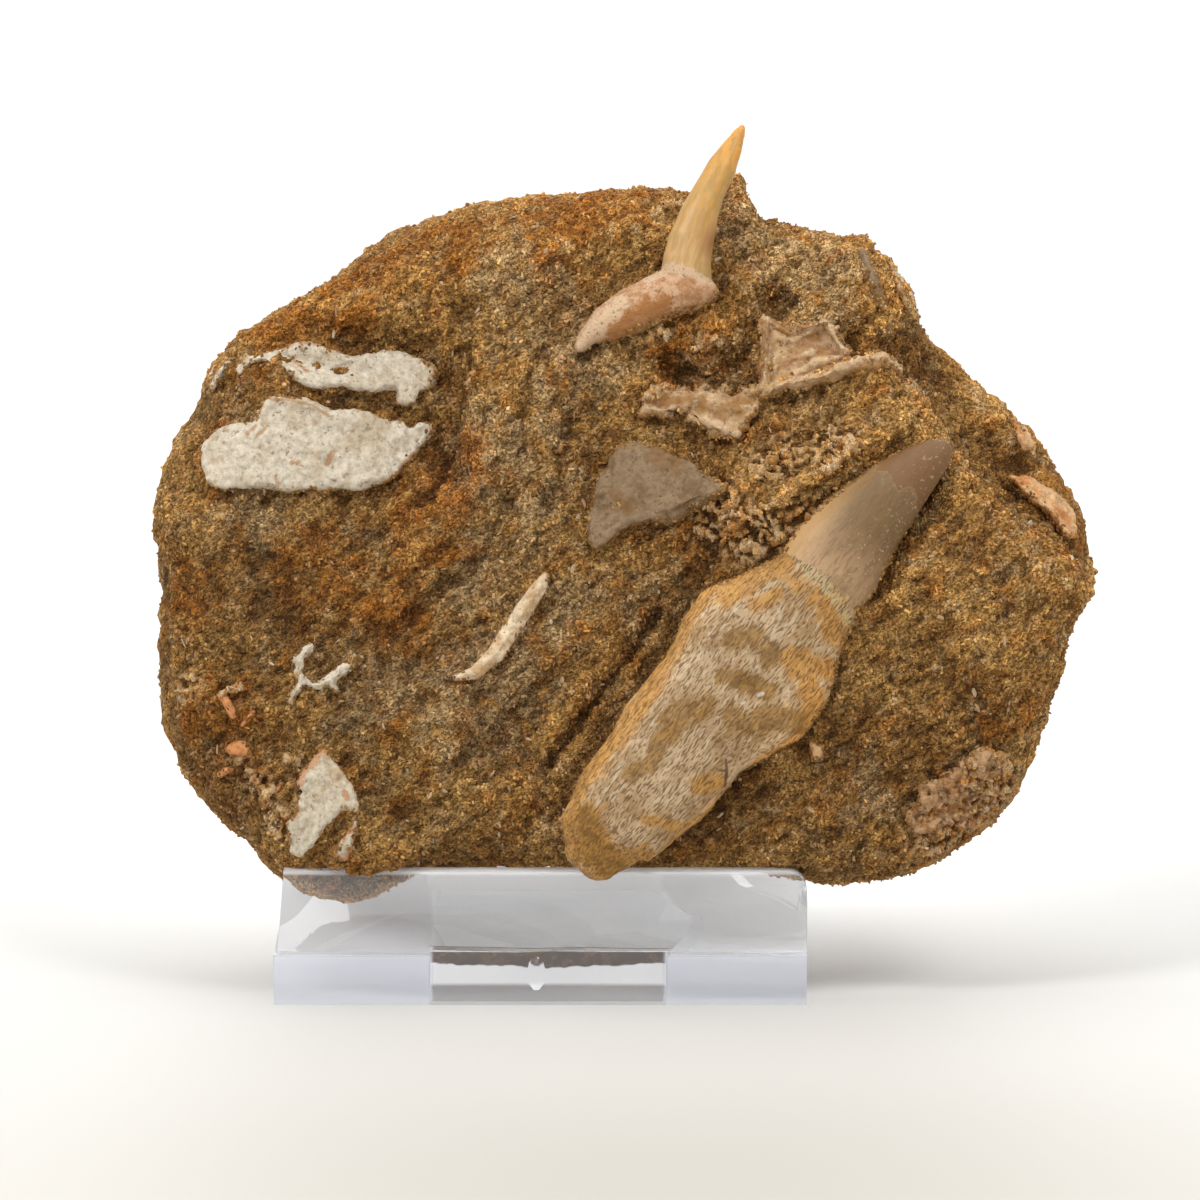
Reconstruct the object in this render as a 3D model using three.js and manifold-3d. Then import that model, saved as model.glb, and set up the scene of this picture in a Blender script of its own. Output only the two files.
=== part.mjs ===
// A fossil mosasaur tooth in its block of phosphatic sandstone, leaning on a clear display stand.
// Units are millimetres and +Z is up. The origin is the middle of the whole thing's footprint.
//
// The block has a frame of its own: x runs across its face, y up the face and z out of it. Every
// fossil is drawn in that frame and sits in a pocket of its own shape, a little larger than itself.

import * as THREE from 'three';
import { ImprovedNoise } from 'three/addons/math/ImprovedNoise.js';
import * as BufferGeometryUtils from 'three/addons/utils/BufferGeometryUtils.js';
import Module from 'manifold-3d';

const wasm = await Module();
wasm.setup();

// ---- driving dimensions ----

const FIT_GAP = 0.3;            // clearance round each fossil, and between the block and its stand
const BLOCK_THICKNESS = 22;     // from the face plane to the back
const BLOCK_LEAN = THREE.MathUtils.degToRad(15);
const BLOCK_FOOT_Y = -1.5;      // where the block's own zero point stands, in the stand's frame
const BLOCK_FOOT_Z = 10.3;

const STAND_WIDTH = 41;
const STAND_DEPTH = 36;
const STAND_CENTRE_X = -4.6;
const BASE_HEIGHT = 3.9;
const LIP_THICKNESS = 2;
const LIP_TOP = 10.4;
const WINDOW_WIDTH = 18;
const WINDOW_CENTRE_X = -4.0;
const WINDOW_FRONT_Y = 3;
const WINDOW_BACK_Y = 14;
const REST_THICKNESS = 2.5;
const REST_WIDTH = 30;
const REST_TOP = 42;
const REST_LEAN = THREE.MathUtils.degToRad(18);
const LIP_CORNER = 1.5;         // round upper corner of the lip
const LIP_CHAMFER = 0.8;        // and its cut upper corner on the left
const REST_CORNER = 3;
const GATE_SIZE = [0.7, 0.35, 1.4];   // the mark of the mould's gate: half its width, depth, height
const GATE_PLACE = [-4.9, 0, 2.5];

// ---- the block's outline, seen square to its face, counter-clockwise from the right-hand point ----

const BLOCK_OUTLINE = [
  [38.2, 26.1], [37.5, 28.9], [36.2, 31.4], [34.9, 33.6], [33.9, 35.3], [33.2, 36.0], [32.4, 36.5],
  [29.9, 38.9], [27.4, 41.3], [24.8, 43.9], [22.9, 47.5], [21.9, 49.0], [20.9, 49.9], [19.6, 50.4],
  [17.9, 50.3], [14.8, 51.3], [11.6, 51.8], [8.4, 53.0], [4.1, 54.3],
  [-1.8, 54.1], [-7.4, 53.6], [-10.7, 53.0], [-13.4, 52.0], [-16.6, 50.9], [-21.7, 46.8],
  [-27.8, 43.2], [-30.7, 40.1], [-31.6, 36.8], [-33.6, 34.2], [-34.4, 31.9], [-35.0, 29.0],
  [-34.2, 22.2], [-34.3, 18.7], [-34.1, 14.4], [-33.2, 10.5], [-31.2, 6.8], [-28.4, 4.1], [-24.8, 0.2],
  [-22.4, -1.6], [-20.0, -2.0], [-16.9, -1.4], [-13.6, 0.6], [-7.7, 1.1], [0.9, 0.8], [9.2, 0.9],
  [14.6, 0.2], [20.0, -0.2], [26.2, 1.5], [28.9, 3.3], [31.9, 6.3], [34.2, 11.6], [35.7, 15.6],
  [36.0, 18.0], [36.7, 19.9], [37.9, 21.9], [38.5, 23.7],
];
const BLOCK_MIDDLE = [1.2, 25.6];

// how the face rolls over at its edge: direction in degrees, drop of the rim, width of the roll
const EDGE_ROLL = [
  [0, 3.0, 4.0], [45, 2.6, 3.5], [75, 4.5, 5.0], [100, 6.5, 7.5], [140, 7.0, 9.0], [180, 6.0, 7.0],
  [215, 6.2, 6.0], [243, 6.4, 5.0], [256, 4.2, 4.5], [300, 4.0, 5.0], [330, 5.0, 6.5], [360, 3.0, 4.0],
];

const FACE_RINGS = 15;          // rings of points from the middle of the face to its rim
const RING_STEP = 7;            // each ring has this many points more than the one inside it
const RIM_CROWDING = 0.45;      // draws the outer rings closer together
// behind the rim: share of the outline, and how many times fewer points than the rim has
const BACK_RINGS = [
  [0.994, 1], [0.96, 1.5], [0.89, 2], [0.78, 2], [0.64, 2.5], [0.48, 3], [0.31, 5], [0.15, 10],
];
const BACK_ROLL = 13;           // width of the round edge behind the rim

// ---- raised and sunken ground on the face ----

// the shelf that carries the tooth's crown, from its broken left edge round its crest to the right
const SHELF = [
  [12.2, 20.5], [9.0, 24.8], [9.4, 27.4], [10.4, 30.5], [11.4, 33.6], [13.1, 37.1], [16.9, 38.4],
  [21.3, 39.9], [23.8, 37.6], [26.4, 34.1], [28.7, 31.0], [31.4, 27.9], [35.2, 24.8], [37.6, 22.8],
  [42, 22], [42, 6], [16, 6],
];
// the lower bevel beyond the crest
const BEVEL = [
  [21.3, 39.9], [23.8, 37.6], [26.4, 34.1], [28.7, 31.0], [31.4, 27.9], [35.2, 24.8], [37.6, 22.8],
  [46, 24], [46, 46], [26, 52],
];
// the recess round the two white bones, deepest at their right-hand end
const BONE_RECESS = [
  [-36, 29.5], [-20, 28.0], [-12.5, 31.0], [-10.3, 34.5], [-10.8, 39.5], [-14, 43.0], [-24, 43.6],
  [-34, 41.0],
];
const RECESS_DEPTH = [1.0, 2.7];
// the hollow between the shark tooth's root and the broken bone
const HOLLOW = [
  [2.6, 39.3], [6.0, 40.0], [9.0, 40.4], [11.8, 42.0], [12.3, 40.4], [12.0, 38.6], [10.6, 37.9],
  [7.5, 38.1], [3.2, 38.0],
];
const HOLLOW_DEPTH = 3.2;
// centre, reach across and up, height
const MOUNDS = [
  [7.4, 42.0, 3.6, 1.6, 2.1], [13.6, 44.5, 1.2, 1.1, -2.4], [4.0, 45.2, 6.0, 3.0, 1.0],
  [-11.9, 33.8, 1.3, 2.8, -1.4], [-22, 25.5, 9.0, 4.6, -1.5], [17.5, 47.5, 5.0, 3.5, -0.9],
  [-14.5, 10.5, 8.0, 5.0, 1.2], [-26.5, 9.0, 4.5, 4.0, -1.1], [27.2, 5.2, 4.4, 3.2, -1.0],
  [9.0, 30.0, 3.0, 4.0, 0.8], [16.5, 9.8, 1.4, 1.2, -0.9], [-6.5, 36.5, 4.2, 6.5, 1.2],
  [0.5, 22.5, 3.6, 3.0, 0.9], [-21.5, 44.5, 6.0, 2.6, 1.0], [26.5, 18.0, 5.0, 4.5, 0.9],
];
// grooves and ridges: the line they follow, half width, height
const GROOVES = [
  [[[-3.1, 21.3], [-7.7, 18.2], [-12.3, 16.3], [-16.9, 14.4]], 1.0, -0.9],
  [[[-4.2, 23.3], [-9.2, 20.5], [-13.8, 18.2], [-17.7, 17.1]], 1.0, -0.9],
  [[[-5.4, 25.6], [-10.0, 23.3], [-14.6, 21.3]], 0.9, -0.8],
  [[[-10.5, 8.5], [-6.0, 12.0], [-1.8, 17.0]], 1.1, -0.8],
  [[[-3.0, 5.5], [-0.5, 10.5], [3.6, 15.8], [6.3, 20.5]], 1.3, -1.5],
  [[[20.9, 22.2], [23.2, 26.8], [26.6, 31.0]], 1.2, -1.7],
  [[[9.4, 26.8], [14.0, 29.8], [19.6, 33.4]], 1.3, 1.0],
  [[[7.0, 52.0], [0.0, 49.7], [-4.6, 49.3], [-10.0, 48.5], [-15.4, 46.6]], 1.9, 1.1],
];
const SAND_LUMPS = [[6.5, 1.2], [3.1, 0.7]];      // width and height of the face's lesser lumps

// where a flake has come off the back, as seen through the block from its face
const BACK_BREAK = [[-40, 30], [-14, 27], [-5, 34], [-9, 45], [-4, 60], [-40, 60]];

// ---- small solids ----

function closedMesh(vertices, triangles) {
  const geometry = new THREE.BufferGeometry();
  geometry.setAttribute('position', new THREE.Float32BufferAttribute(vertices, 3));
  geometry.setIndex(triangles);
  return geometry;
}

function toManifold(geometry) {
  const bare = geometry.clone();
  bare.deleteAttribute('normal');
  bare.deleteAttribute('uv');
  const merged = BufferGeometryUtils.mergeVertices(bare, 1e-4);
  return new wasm.Manifold(new wasm.Mesh({
    numProp: 3,
    vertProperties: new Float32Array(merged.attributes.position.array),
    triVerts: new Uint32Array(merged.index.array),
  }));
}

function toGeometry(solid) {
  const mesh = solid.getMesh();
  const geometry = new THREE.BufferGeometry();
  geometry.setAttribute('position', new THREE.BufferAttribute(new Float32Array(mesh.vertProperties), 3));
  geometry.setIndex(new THREE.BufferAttribute(new Uint32Array(mesh.triVerts), 1));
  geometry.computeVertexNormals();
  return geometry;
}

function joined(geometries) {
  let whole = toManifold(geometries[0]);
  for (const geometry of geometries.slice(1)) {
    whole = whole.add(toManifold(geometry));
  }
  return toGeometry(whole);
}

// ---- the form of the face ----

const perlin = new ImprovedNoise();

function roughness(x, y, z, size) {
  return perlin.noise(x / size + 11.3, y / size + 5.7, z / size + 2.9);
}

function easeBetween(value, low, high) {
  return THREE.MathUtils.smoothstep(value, low, high);
}

function distanceToLine(line, u, v) {
  let nearest = Infinity;
  for (let i = 0; i + 1 < line.length; i += 1) {
    const [u0, v0] = line[i];
    const [u1, v1] = line[i + 1];
    const run = (u1 - u0) ** 2 + (v1 - v0) ** 2;
    const along = THREE.MathUtils.clamp(((u - u0) * (u1 - u0) + (v - v0) * (v1 - v0)) / run, 0, 1);
    nearest = Math.min(nearest, Math.hypot(u - u0 - along * (u1 - u0), v - v0 - along * (v1 - v0)));
  }
  return nearest;
}

// how far inside a closed outline a point lies, negative outside it
function depthInside(outline, u, v) {
  let inside = false;
  for (let i = 0, j = outline.length - 1; i < outline.length; j = i, i += 1) {
    const [u0, v0] = outline[i];
    const [u1, v1] = outline[j];
    if ((v0 > v) !== (v1 > v) && u < ((u1 - u0) * (v - v0)) / (v1 - v0) + u0) {
      inside = !inside;
    }
  }
  const distance = distanceToLine([...outline, outline[0]], u, v);
  return inside ? distance : -distance;
}

function faceForm(u, v) {
  let height = 3.0 * easeBetween(depthInside(SHELF, u, v), -1.7, 1.5) * easeBetween(v, 7, 22);
  height -= 4.2 * easeBetween(depthInside(BEVEL, u, v), -0.6, 3.4);
  const recess = THREE.MathUtils.mapLinear(easeBetween(u, -26, -14), 0, 1, ...RECESS_DEPTH);
  height -= recess * easeBetween(depthInside(BONE_RECESS, u, v), -0.6, 1.2);
  height -= HOLLOW_DEPTH * easeBetween(depthInside(HOLLOW, u, v), -0.6, 1.3);
  for (const [cu, cv, reachU, reachV, rise] of MOUNDS) {
    height += rise * Math.exp(-(((u - cu) / reachU) ** 2) - ((v - cv) / reachV) ** 2);
  }
  for (const [line, halfWidth, rise] of GROOVES) {
    height += rise * Math.exp(-((distanceToLine(line, u, v) / halfWidth) ** 2));
  }
  return height;
}

function edgeRoll(u, v) {
  const turn = THREE.MathUtils.radToDeg(Math.atan2(v - BLOCK_MIDDLE[1], u - BLOCK_MIDDLE[0]));
  const angle = (turn + 360) % 360;
  const next = EDGE_ROLL.findIndex(([end]) => end >= angle && end > 0);
  const [a0, drop0, width0] = EDGE_ROLL[next - 1];
  const [a1, drop1, width1] = EDGE_ROLL[next];
  const part = easeBetween(angle, a0, a1);
  return { drop: drop0 + part * (drop1 - drop0), width: width0 + part * (width1 - width0) };
}

// height lost where the face rolls over, from the distance to the rim
function rollLoss(distance, roll) {
  const left = 1 - Math.min(distance / roll.width, 1);
  return roll.drop * (1 - Math.sqrt(Math.max(0, 1 - left * left)));
}

// the face as a fossil meets it, with its edge rolled over
function groundHeight(u, v) {
  const toRim = Math.max(depthInside(BLOCK_OUTLINE, u, v), 0);
  return faceForm(u, v) - rollLoss(toRim, edgeRoll(u, v));
}

// ---- the block ----

// joins two rings of points, from middle to rim or from rim to back, whatever their counts
function stitch(triangles, inner, outer) {
  let i = 0;
  let j = 0;
  while (i < inner.count || j < outer.count) {
    const a = inner.start + (i % inner.count);
    const b = outer.start + (j % outer.count);
    const innerFirst = (i + 1) * outer.count <= (j + 1) * inner.count;
    if (j === outer.count || (innerFirst && i < inner.count)) {
      triangles.push(a, b, inner.start + ((i + 1) % inner.count));
      i += 1;
    } else {
      triangles.push(a, b, outer.start + ((j + 1) % outer.count));
      j += 1;
    }
  }
}

function blockSolid() {
  const outline = new THREE.CatmullRomCurve3(
    BLOCK_OUTLINE.map(([u, v]) => new THREE.Vector3(u, v, 0)), true, 'centripetal');
  outline.arcLengthDivisions = 600;
  const [cu, cv] = BLOCK_MIDDLE;

  function facePoint(corner, share) {
    const u = cu + share * (corner.x - cu);
    const v = cv + share * (corner.y - cv);
    const toRim = (1 - share) * Math.hypot(corner.x - cu, corner.y - cv);
    const sandy = SAND_LUMPS.reduce((sum, [size, rise]) => sum + rise * roughness(u, v, size, size), 0);
    return [u, v, faceForm(u, v) + sandy - rollLoss(toRim, edgeRoll(corner.x, corner.y))];
  }

  function backPoint(corner, share) {
    const rimHeight = facePoint(corner, 1)[2];
    const wobble = 1 - 0.06 * Math.abs(roughness(corner.x, corner.y, share * 40, 9));
    const u = cu + share * wobble * (corner.x - cu);
    const v = cv + share * wobble * (corner.y - cv);
    const toRim = (1 - share) * Math.hypot(corner.x - cu, corner.y - cv);
    const left = 1 - Math.min(toRim / BACK_ROLL, 1);
    const lumps = 3.2 * Math.abs(roughness(u, v, 20, 12)) + 1.8 * roughness(u, v, 30, 5.5);
    const broken = 1.6 * easeBetween(depthInside(BACK_BREAK, u, v), -0.5, 1.6);
    const depth = -BLOCK_THICKNESS + lumps + broken;
    return [u, v, rimHeight + (depth - rimHeight) * Math.sqrt(1 - left * left)];
  }

  const vertices = [cu, cv, facePoint(outline.getPointAt(0), 0)[2]];
  const triangles = [];
  const rings = [{ start: 0, count: 1 }];
  function addRing(count, share, pointAt) {
    rings.push({ start: vertices.length / 3, count });
    for (let k = 0; k < count; k += 1) {
      vertices.push(...pointAt(outline.getPointAt(k / count), share));
    }
  }
  for (let ring = 1; ring <= FACE_RINGS; ring += 1) {
    const part = ring / FACE_RINGS;
    addRing(ring * RING_STEP, part * (1 + RIM_CROWDING * (1 - part)), facePoint);
  }
  for (const [share, thinning] of BACK_RINGS) {
    addRing(Math.round((FACE_RINGS * RING_STEP) / thinning), share, backPoint);
  }
  rings.push({ start: vertices.length / 3, count: 1 });
  vertices.push(cu, cv, backPoint(outline.getPointAt(0), 0)[2]);
  for (let r = 0; r + 1 < rings.length; r += 1) {
    if (rings[r].count === 1 || rings[r + 1].count === 1) {
      const tip = rings[r].count === 1 ? rings[r].start : rings[r + 1].start;
      const ring = rings[r].count === 1 ? rings[r + 1] : rings[r];
      for (let k = 0; k < ring.count; k += 1) {
        const here = ring.start + k;
        const next = ring.start + ((k + 1) % ring.count);
        triangles.push(...(r === 0 ? [tip, here, next] : [tip, next, here]));
      }
    } else {
      stitch(triangles, rings[r], rings[r + 1]);
    }
  }
  return closedMesh(vertices, triangles);
}

const END_POINT = 0.4;          // how far a drawn solid's tip reaches past its last stop, in half widths

// a solid drawn along a line on the face; each stop is u, v, half width, top and bottom height
function drawnAlong(stops, sides, grow = 0, ground = () => 0) {
  const vertices = [];
  const triangles = [];
  const last = stops.length - 1;
  stops.forEach(([u, v, halfWidth, top, bottom], i) => {
    const [ua, va] = stops[Math.max(i - 1, 0)];
    const [ub, vb] = stops[Math.min(i + 1, last)];
    const run = Math.hypot(ub - ua, vb - va);
    const along = [(ub - ua) / run, (vb - va) / run];
    const push = (i === 0 ? -grow : 0) + (i === last ? grow : 0);
    const height = ground(u, v);
    const middle = (top + bottom) / 2;
    for (let k = 0; k < sides; k += 1) {
      const angle = (2 * Math.PI * (k + 0.5)) / sides;
      const across = (halfWidth + grow) * Math.cos(angle);
      const up = ((top - bottom) / 2 + grow) * Math.sin(angle);
      vertices.push(u + push * along[0] + across * along[1], v + push * along[1] - across * along[0]);
      vertices.push(height + middle + up);
    }
  });
  for (const i of [0, last]) {
    const [u, v, halfWidth, top, bottom] = stops[i];
    const [ub, vb] = stops[i === 0 ? 1 : last - 1];
    const run = Math.hypot(ub - u, vb - v);
    const out = -(END_POINT * halfWidth + grow) / run;
    vertices.push(u + out * (ub - u), v + out * (vb - v), ground(u, v) + (top + bottom) / 2);
  }
  const firstCap = stops.length * sides;
  for (let k = 0; k < sides; k += 1) {
    const next = (k + 1) % sides;
    for (let i = 0; i < last; i += 1) {
      const a = i * sides;
      const b = a + sides;
      triangles.push(a + k, b + next, a + next, a + k, b + k, b + next);
    }
    triangles.push(firstCap, k, next, firstCap + 1, last * sides + next, last * sides + k);
  }
  return closedMesh(vertices, triangles);
}

function nearestOf(points, x, y) {
  return points.reduce((best, point) => (
    Math.hypot(point[0] - x, point[1] - y) < Math.hypot(best[0] - x, best[1] - y) ? point : best));
}

// a flat piece of the given outline that follows the face, its top standing proud of it
function flatPiece(outline, thickness, proud, grow = 0) {
  const edge = 0.3;
  const deeper = 3 * grow;      // the pocket's floor and roof also clear a face that slopes
  const shape = new THREE.Shape(outline.map(([u, v]) => new THREE.Vector2(u, v)));
  const geometry = new THREE.ExtrudeGeometry(shape, {
    depth: thickness + 2 * deeper - 2 * edge,
    steps: 1,
    bevelThickness: edge,
    bevelSize: edge,
    bevelOffset: grow - edge,
    bevelSegments: 1,
  });
  geometry.translate(0, 0, proud + deeper - (thickness + 2 * deeper - edge));
  // each corner keeps the ground height of its own outline point, so a grown copy clears all round
  const place = geometry.attributes.position;
  for (let i = 0; i < place.count; i += 1) {
    const [u, v] = nearestOf(outline, place.getX(i), place.getY(i));
    place.setZ(i, place.getZ(i) + groundHeight(u, v));
  }
  return geometry;
}

// ---- the fossils ----

// distance from the root's end, reach to the left and right of the axis, top and bottom height
const TOOTH_START = [1.07, -0.62];
const TOOTH_AXIS = [0.6134, 0.7897];
const TOOTH_STATIONS = [
  [0.2, -2.2, 0.3, 1.2, -0.6], [0.9, -4.6, 0.8, 2.0, -1.4], [2.3, -6.4, 1.1, 2.9, -2.2],
  [5, -7.2, 1.6, 3.7, -3.2], [8.5, -7.4, 2.3, 4.1, -3.8], [13, -7.7, 2.5, 4.4, -4.2],
  [15.4, -7.8, 3.3, 4.8, -4.6], [18.2, -8.1, 4.6, 5.3, -4.8], [20.2, -8.5, 4.6, 5.5, -4.7],
  [21.8, -8.5, 4.1, 5.5, -4.4], [24.4, -7.2, 3.3, 5.3, -3.6], [27.6, -5.8, 2.4, 5.1, -2.6],
  [30.2, -6.0, 2.0, 5.2, -1.8], [33.5, -5.2, 1.4, 5.3, -0.8], [36.9, -4.1, 1.1, 5.1, 0.4],
  [39.6, -2.8, 0.9, 4.8, 1.7], [41.4, -1.7, 0.7, 4.5, 2.7], [42.1, -0.9, 0.3, 4.2, 3.3],
];

// the worn hollow in the root's front: centre and half sizes of the bowl that shapes it
const ROOT_HOLLOW = { place: [11.7, 13.3, 5.7], size: [2.7, 2.1, 1.2] };

function mosasaurTooth(grow = 0) {
  const stops = TOOTH_STATIONS.map(([t, left, right, top, bottom]) => {
    const middle = (left + right) / 2;
    return [
      TOOTH_START[0] + t * TOOTH_AXIS[0] + middle * TOOTH_AXIS[1],
      TOOTH_START[1] + t * TOOTH_AXIS[1] - middle * TOOTH_AXIS[0],
      (right - left) / 2, top, bottom,
    ];
  });
  if (grow > 0) {
    return drawnAlong(stops, 12, grow);
  }
  const bowl = new THREE.SphereGeometry(1, 12, 8);
  bowl.scale(...ROOT_HOLLOW.size);
  bowl.translate(...ROOT_HOLLOW.place);
  return toGeometry(toManifold(drawnAlong(stops, 18)).subtract(toManifold(bowl)));
}

const SHARK_CROWN = [
  [6.6, 45.6, 2.05, 3.2, -0.4], [6.7, 47.4, 1.95, 3.4, 0.2], [7.1, 49.2, 1.78, 3.35, 0.4],
  [7.65, 51.0, 1.53, 3.15, 0.6], [8.4, 52.8, 1.3, 2.8, 0.6], [9.4, 54.7, 1.18, 2.4, 0.6],
  [10.2, 56.3, 0.84, 2.0, 0.6], [10.8, 57.5, 0.5, 1.6, 0.8], [11.05, 58.1, 0.2, 1.4, 1.0],
];
const SHARK_ROOT = [
  [-1.75, 40.6, 0.4, 1.6, 0.2], [-0.9, 41.7, 0.8, 2.0, -0.3], [0.4, 42.6, 1.4, 2.6, -1.0],
  [2.2, 43.5, 1.85, 3.0, -1.3], [3.6, 44.1, 1.9, 3.3, -1.4], [5.0, 44.8, 1.95, 3.4, -1.4],
  [6.6, 45.05, 1.75, 3.4, -1.3], [8.0, 45.1, 1.4, 3.0, -1.0], [8.8, 44.9, 0.7, 2.5, -0.5],
];

function sharkTooth(grow = 0) {
  const sides = grow > 0 ? 8 : 12;
  return joined([drawnAlong(SHARK_CROWN, sides, grow), drawnAlong(SHARK_ROOT, sides, grow)]);
}

const UPPER_WHITE_BONE = [
  [-28.2, 39.6], [-27.6, 40.4], [-26.1, 41.0], [-24.4, 41.1], [-23.4, 41.5], [-21.7, 41.5],
  [-21.0, 41.0], [-19.3, 40.5], [-16.7, 41.0], [-14.9, 40.8], [-14.1, 40.2], [-13.0, 39.8],
  [-12.6, 39.1], [-12.9, 38.3], [-14.0, 37.9], [-14.4, 37.0], [-15.1, 36.7], [-15.7, 37.3],
  [-15.6, 38.0], [-17.7, 37.7], [-19.9, 38.0], [-22.2, 37.9], [-23.4, 38.4], [-24.8, 39.6],
  [-26.2, 40.1], [-27.2, 39.8], [-27.9, 39.0],
];
const LOWER_WHITE_BONE = [
  [-30.7, 33.6], [-29.6, 34.7], [-28.2, 35.4], [-26.6, 35.3], [-26.0, 36.6], [-25.3, 37.2],
  [-23.0, 37.1], [-21.5, 36.6], [-20.5, 36.0], [-18.9, 36.3], [-17.1, 35.9], [-16.3, 35.4],
  [-15.4, 35.4], [-14.8, 34.8], [-13.9, 35.5], [-13.0, 35.4], [-12.7, 34.5], [-13.6, 33.6],
  [-15.0, 32.1], [-16.4, 30.8], [-18.1, 30.2], [-20.6, 30.2], [-24.0, 29.8], [-26.1, 30.2],
  [-28.9, 30.0], [-30.2, 30.6], [-30.8, 32.0],
];
const GREY_FRAGMENT = [
  [-0.9, 27.5], [-0.5, 29.1], [0.2, 31.0], [1.0, 32.6], [1.8, 33.3], [3.1, 33.6], [4.6, 33.1],
  [6.2, 32.3], [7.7, 31.4], [8.4, 30.8], [9.2, 30.3], [9.8, 29.5], [8.0, 28.4], [6.8, 28.1],
  [5.5, 27.2], [3.8, 27.5], [1.5, 26.6], [-0.2, 25.2], [-1.0, 25.8],
];
// the broken bone: a layered sheet on the left, a fan of crushed bone, and the thin walls round them
const BONE_SHEET = [
  [3.2, 35.6], [3.5, 36.8], [5.0, 37.3], [7.7, 37.3], [10.4, 37.0], [12.6, 37.3], [12.2, 35.8],
  [10.5, 33.6], [8.8, 34.4], [7.3, 35.3], [6.1, 36.2], [4.6, 35.5],
];
const BONE_FAN = [
  [12.5, 37.1], [12.7, 38.4], [12.8, 40.6], [12.7, 42.1], [12.9, 43.1], [13.5, 42.5], [14.9, 41.9],
  [15.7, 42.4], [17.5, 42.8], [17.8, 42.0], [18.2, 41.0], [18.9, 40.2], [19.9, 39.7], [21.0, 39.9],
  [21.9, 39.9], [22.6, 39.2], [21.0, 38.9], [19.2, 38.4], [16.2, 38.0], [13.6, 37.5],
];
const BONE_WALLS = [
  [[12.9, 43.0, 0.25, 1.3, -0.9], [12.8, 41.2, 0.35, 1.6, -1.0], [12.7, 39.4, 0.35, 1.6, -1.0],
    [12.5, 37.4, 0.4, 1.5, -1.0]],
  [[13.1, 42.7, 0.2, 1.3, -0.9], [14.7, 41.8, 0.25, 1.4, -0.9], [15.9, 42.4, 0.3, 1.5, -0.9],
    [17.3, 42.7, 0.3, 1.6, -0.9]],
  [[17.4, 42.7, 0.25, 1.6, -0.9], [18.0, 41.4, 0.3, 1.7, -0.9], [18.9, 40.1, 0.3, 1.6, -0.9]],
  [[10.5, 34.2, 0.35, 1.2, -1.0], [11.9, 36.5, 0.4, 1.6, -1.2], [13.9, 37.5, 0.45, 1.7, -1.2],
    [16.9, 38.0, 0.45, 1.7, -1.2], [18.6, 38.6, 0.5, 1.7, -1.2], [20.2, 39.4, 0.5, 1.6, -1.2],
    [21.9, 39.7, 0.45, 1.5, -1.1], [23.2, 38.9, 0.3, 1.2, -1.0]],
];

function brokenBone(grow = 0) {
  const pieces = [
    flatPiece(BONE_SHEET, 1.6, 1.0, grow),
    flatPiece(BONE_FAN, 2.2, 0.7, grow),
  ];
  for (const wall of BONE_WALLS) {
    pieces.push(drawnAlong(wall, 6, grow, groundHeight));
  }
  return joined(pieces);
}

const EDGE_CRUST = [
  [22.5, 48.0], [23.0, 47.4], [23.6, 46.5], [24.2, 45.5], [24.7, 44.5], [24.7, 43.8], [24.3, 43.5],
  [23.6, 44.1], [22.9, 45.6], [22.5, 46.9],
];
const LAYERED_SHELL = [
  [31.6, 31.4], [33.4, 31.3], [35.5, 30.3], [36.7, 28.8], [37.0, 26.6], [36.0, 26.5], [34.8, 28.3],
  [32.9, 29.7],
];
const ORANGE_SHELL = [[32.1, 36.0], [32.8, 35.6], [33.4, 34.8], [33.7, 33.9], [32.9, 33.5], [32.3, 34.4]];
const POROUS_BONE = [
  [27.6, 8.4], [28.3, 9.5], [29.9, 9.7], [31.1, 8.9], [30.5, 7.6], [30.4, 6.5], [28.9, 5.6],
  [28.4, 4.3], [26.6, 3.9], [25.4, 2.9], [23.9, 3.3], [23.4, 4.6], [24.6, 5.7], [24.6, 7.0],
  [26.1, 7.4],
];
const SCALE_PLATE = [
  [-21.2, 9.8], [-19.9, 8.2], [-18.9, 6.9], [-18.4, 5.5], [-18.6, 4.9], [-19.4, 5.0], [-20.2, 4.5],
  [-21.4, 3.2], [-22.2, 2.1], [-22.8, 1.6], [-23.6, 1.8], [-23.9, 3.0], [-24.0, 4.2], [-23.1, 5.0],
  [-23.2, 6.2], [-22.7, 6.4], [-23.2, 7.2], [-22.9, 7.9], [-21.9, 8.9],
];
const SMALL_CHIP = [[16.0, 10.5], [17.2, 10.1], [17.1, 9.2], [16.2, 9.0]];
const EDGE_BONE = [[-30.9, 38.2], [-30.2, 39.9], [-29.2, 40.9], [-28.6, 40.3], [-29.2, 39.3], [-30.1, 37.9]];

const RIB_SPLINTER = [
  [-11.2, 15.2, 0.3, 0.8, -0.5], [-9.6, 15.6, 0.6, 1.1, -0.6], [-8.1, 17.0, 0.75, 1.4, -0.7],
  [-6.9, 18.9, 0.85, 1.5, -0.7], [-5.7, 20.7, 0.8, 1.5, -0.7], [-4.7, 22.2, 0.65, 1.4, -0.6],
  [-4.1, 23.4, 0.3, 1.1, -0.5],
];
const SPINE = [
  [20.2, 48.6, 0.35, 1.2, -0.8], [20.7, 47.2, 0.5, 1.5, -0.9], [21.1, 46.0, 0.55, 1.5, -0.9],
  [21.5, 44.9, 0.5, 1.3, -0.9], [21.9, 43.8, 0.3, 1.0, -0.7],
];
const SCALE_STRIP = [
  [-18.7, 4.3, 0.25, 0.8, -1.0], [-18.8, 3.7, 0.35, 0.9, -1.0], [-19.1, 3.0, 0.5, 0.9, -1.1],
  [-19.5, 2.3, 0.65, 0.8, -1.2], [-19.9, 1.7, 0.7, 0.6, -1.2],
];
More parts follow.
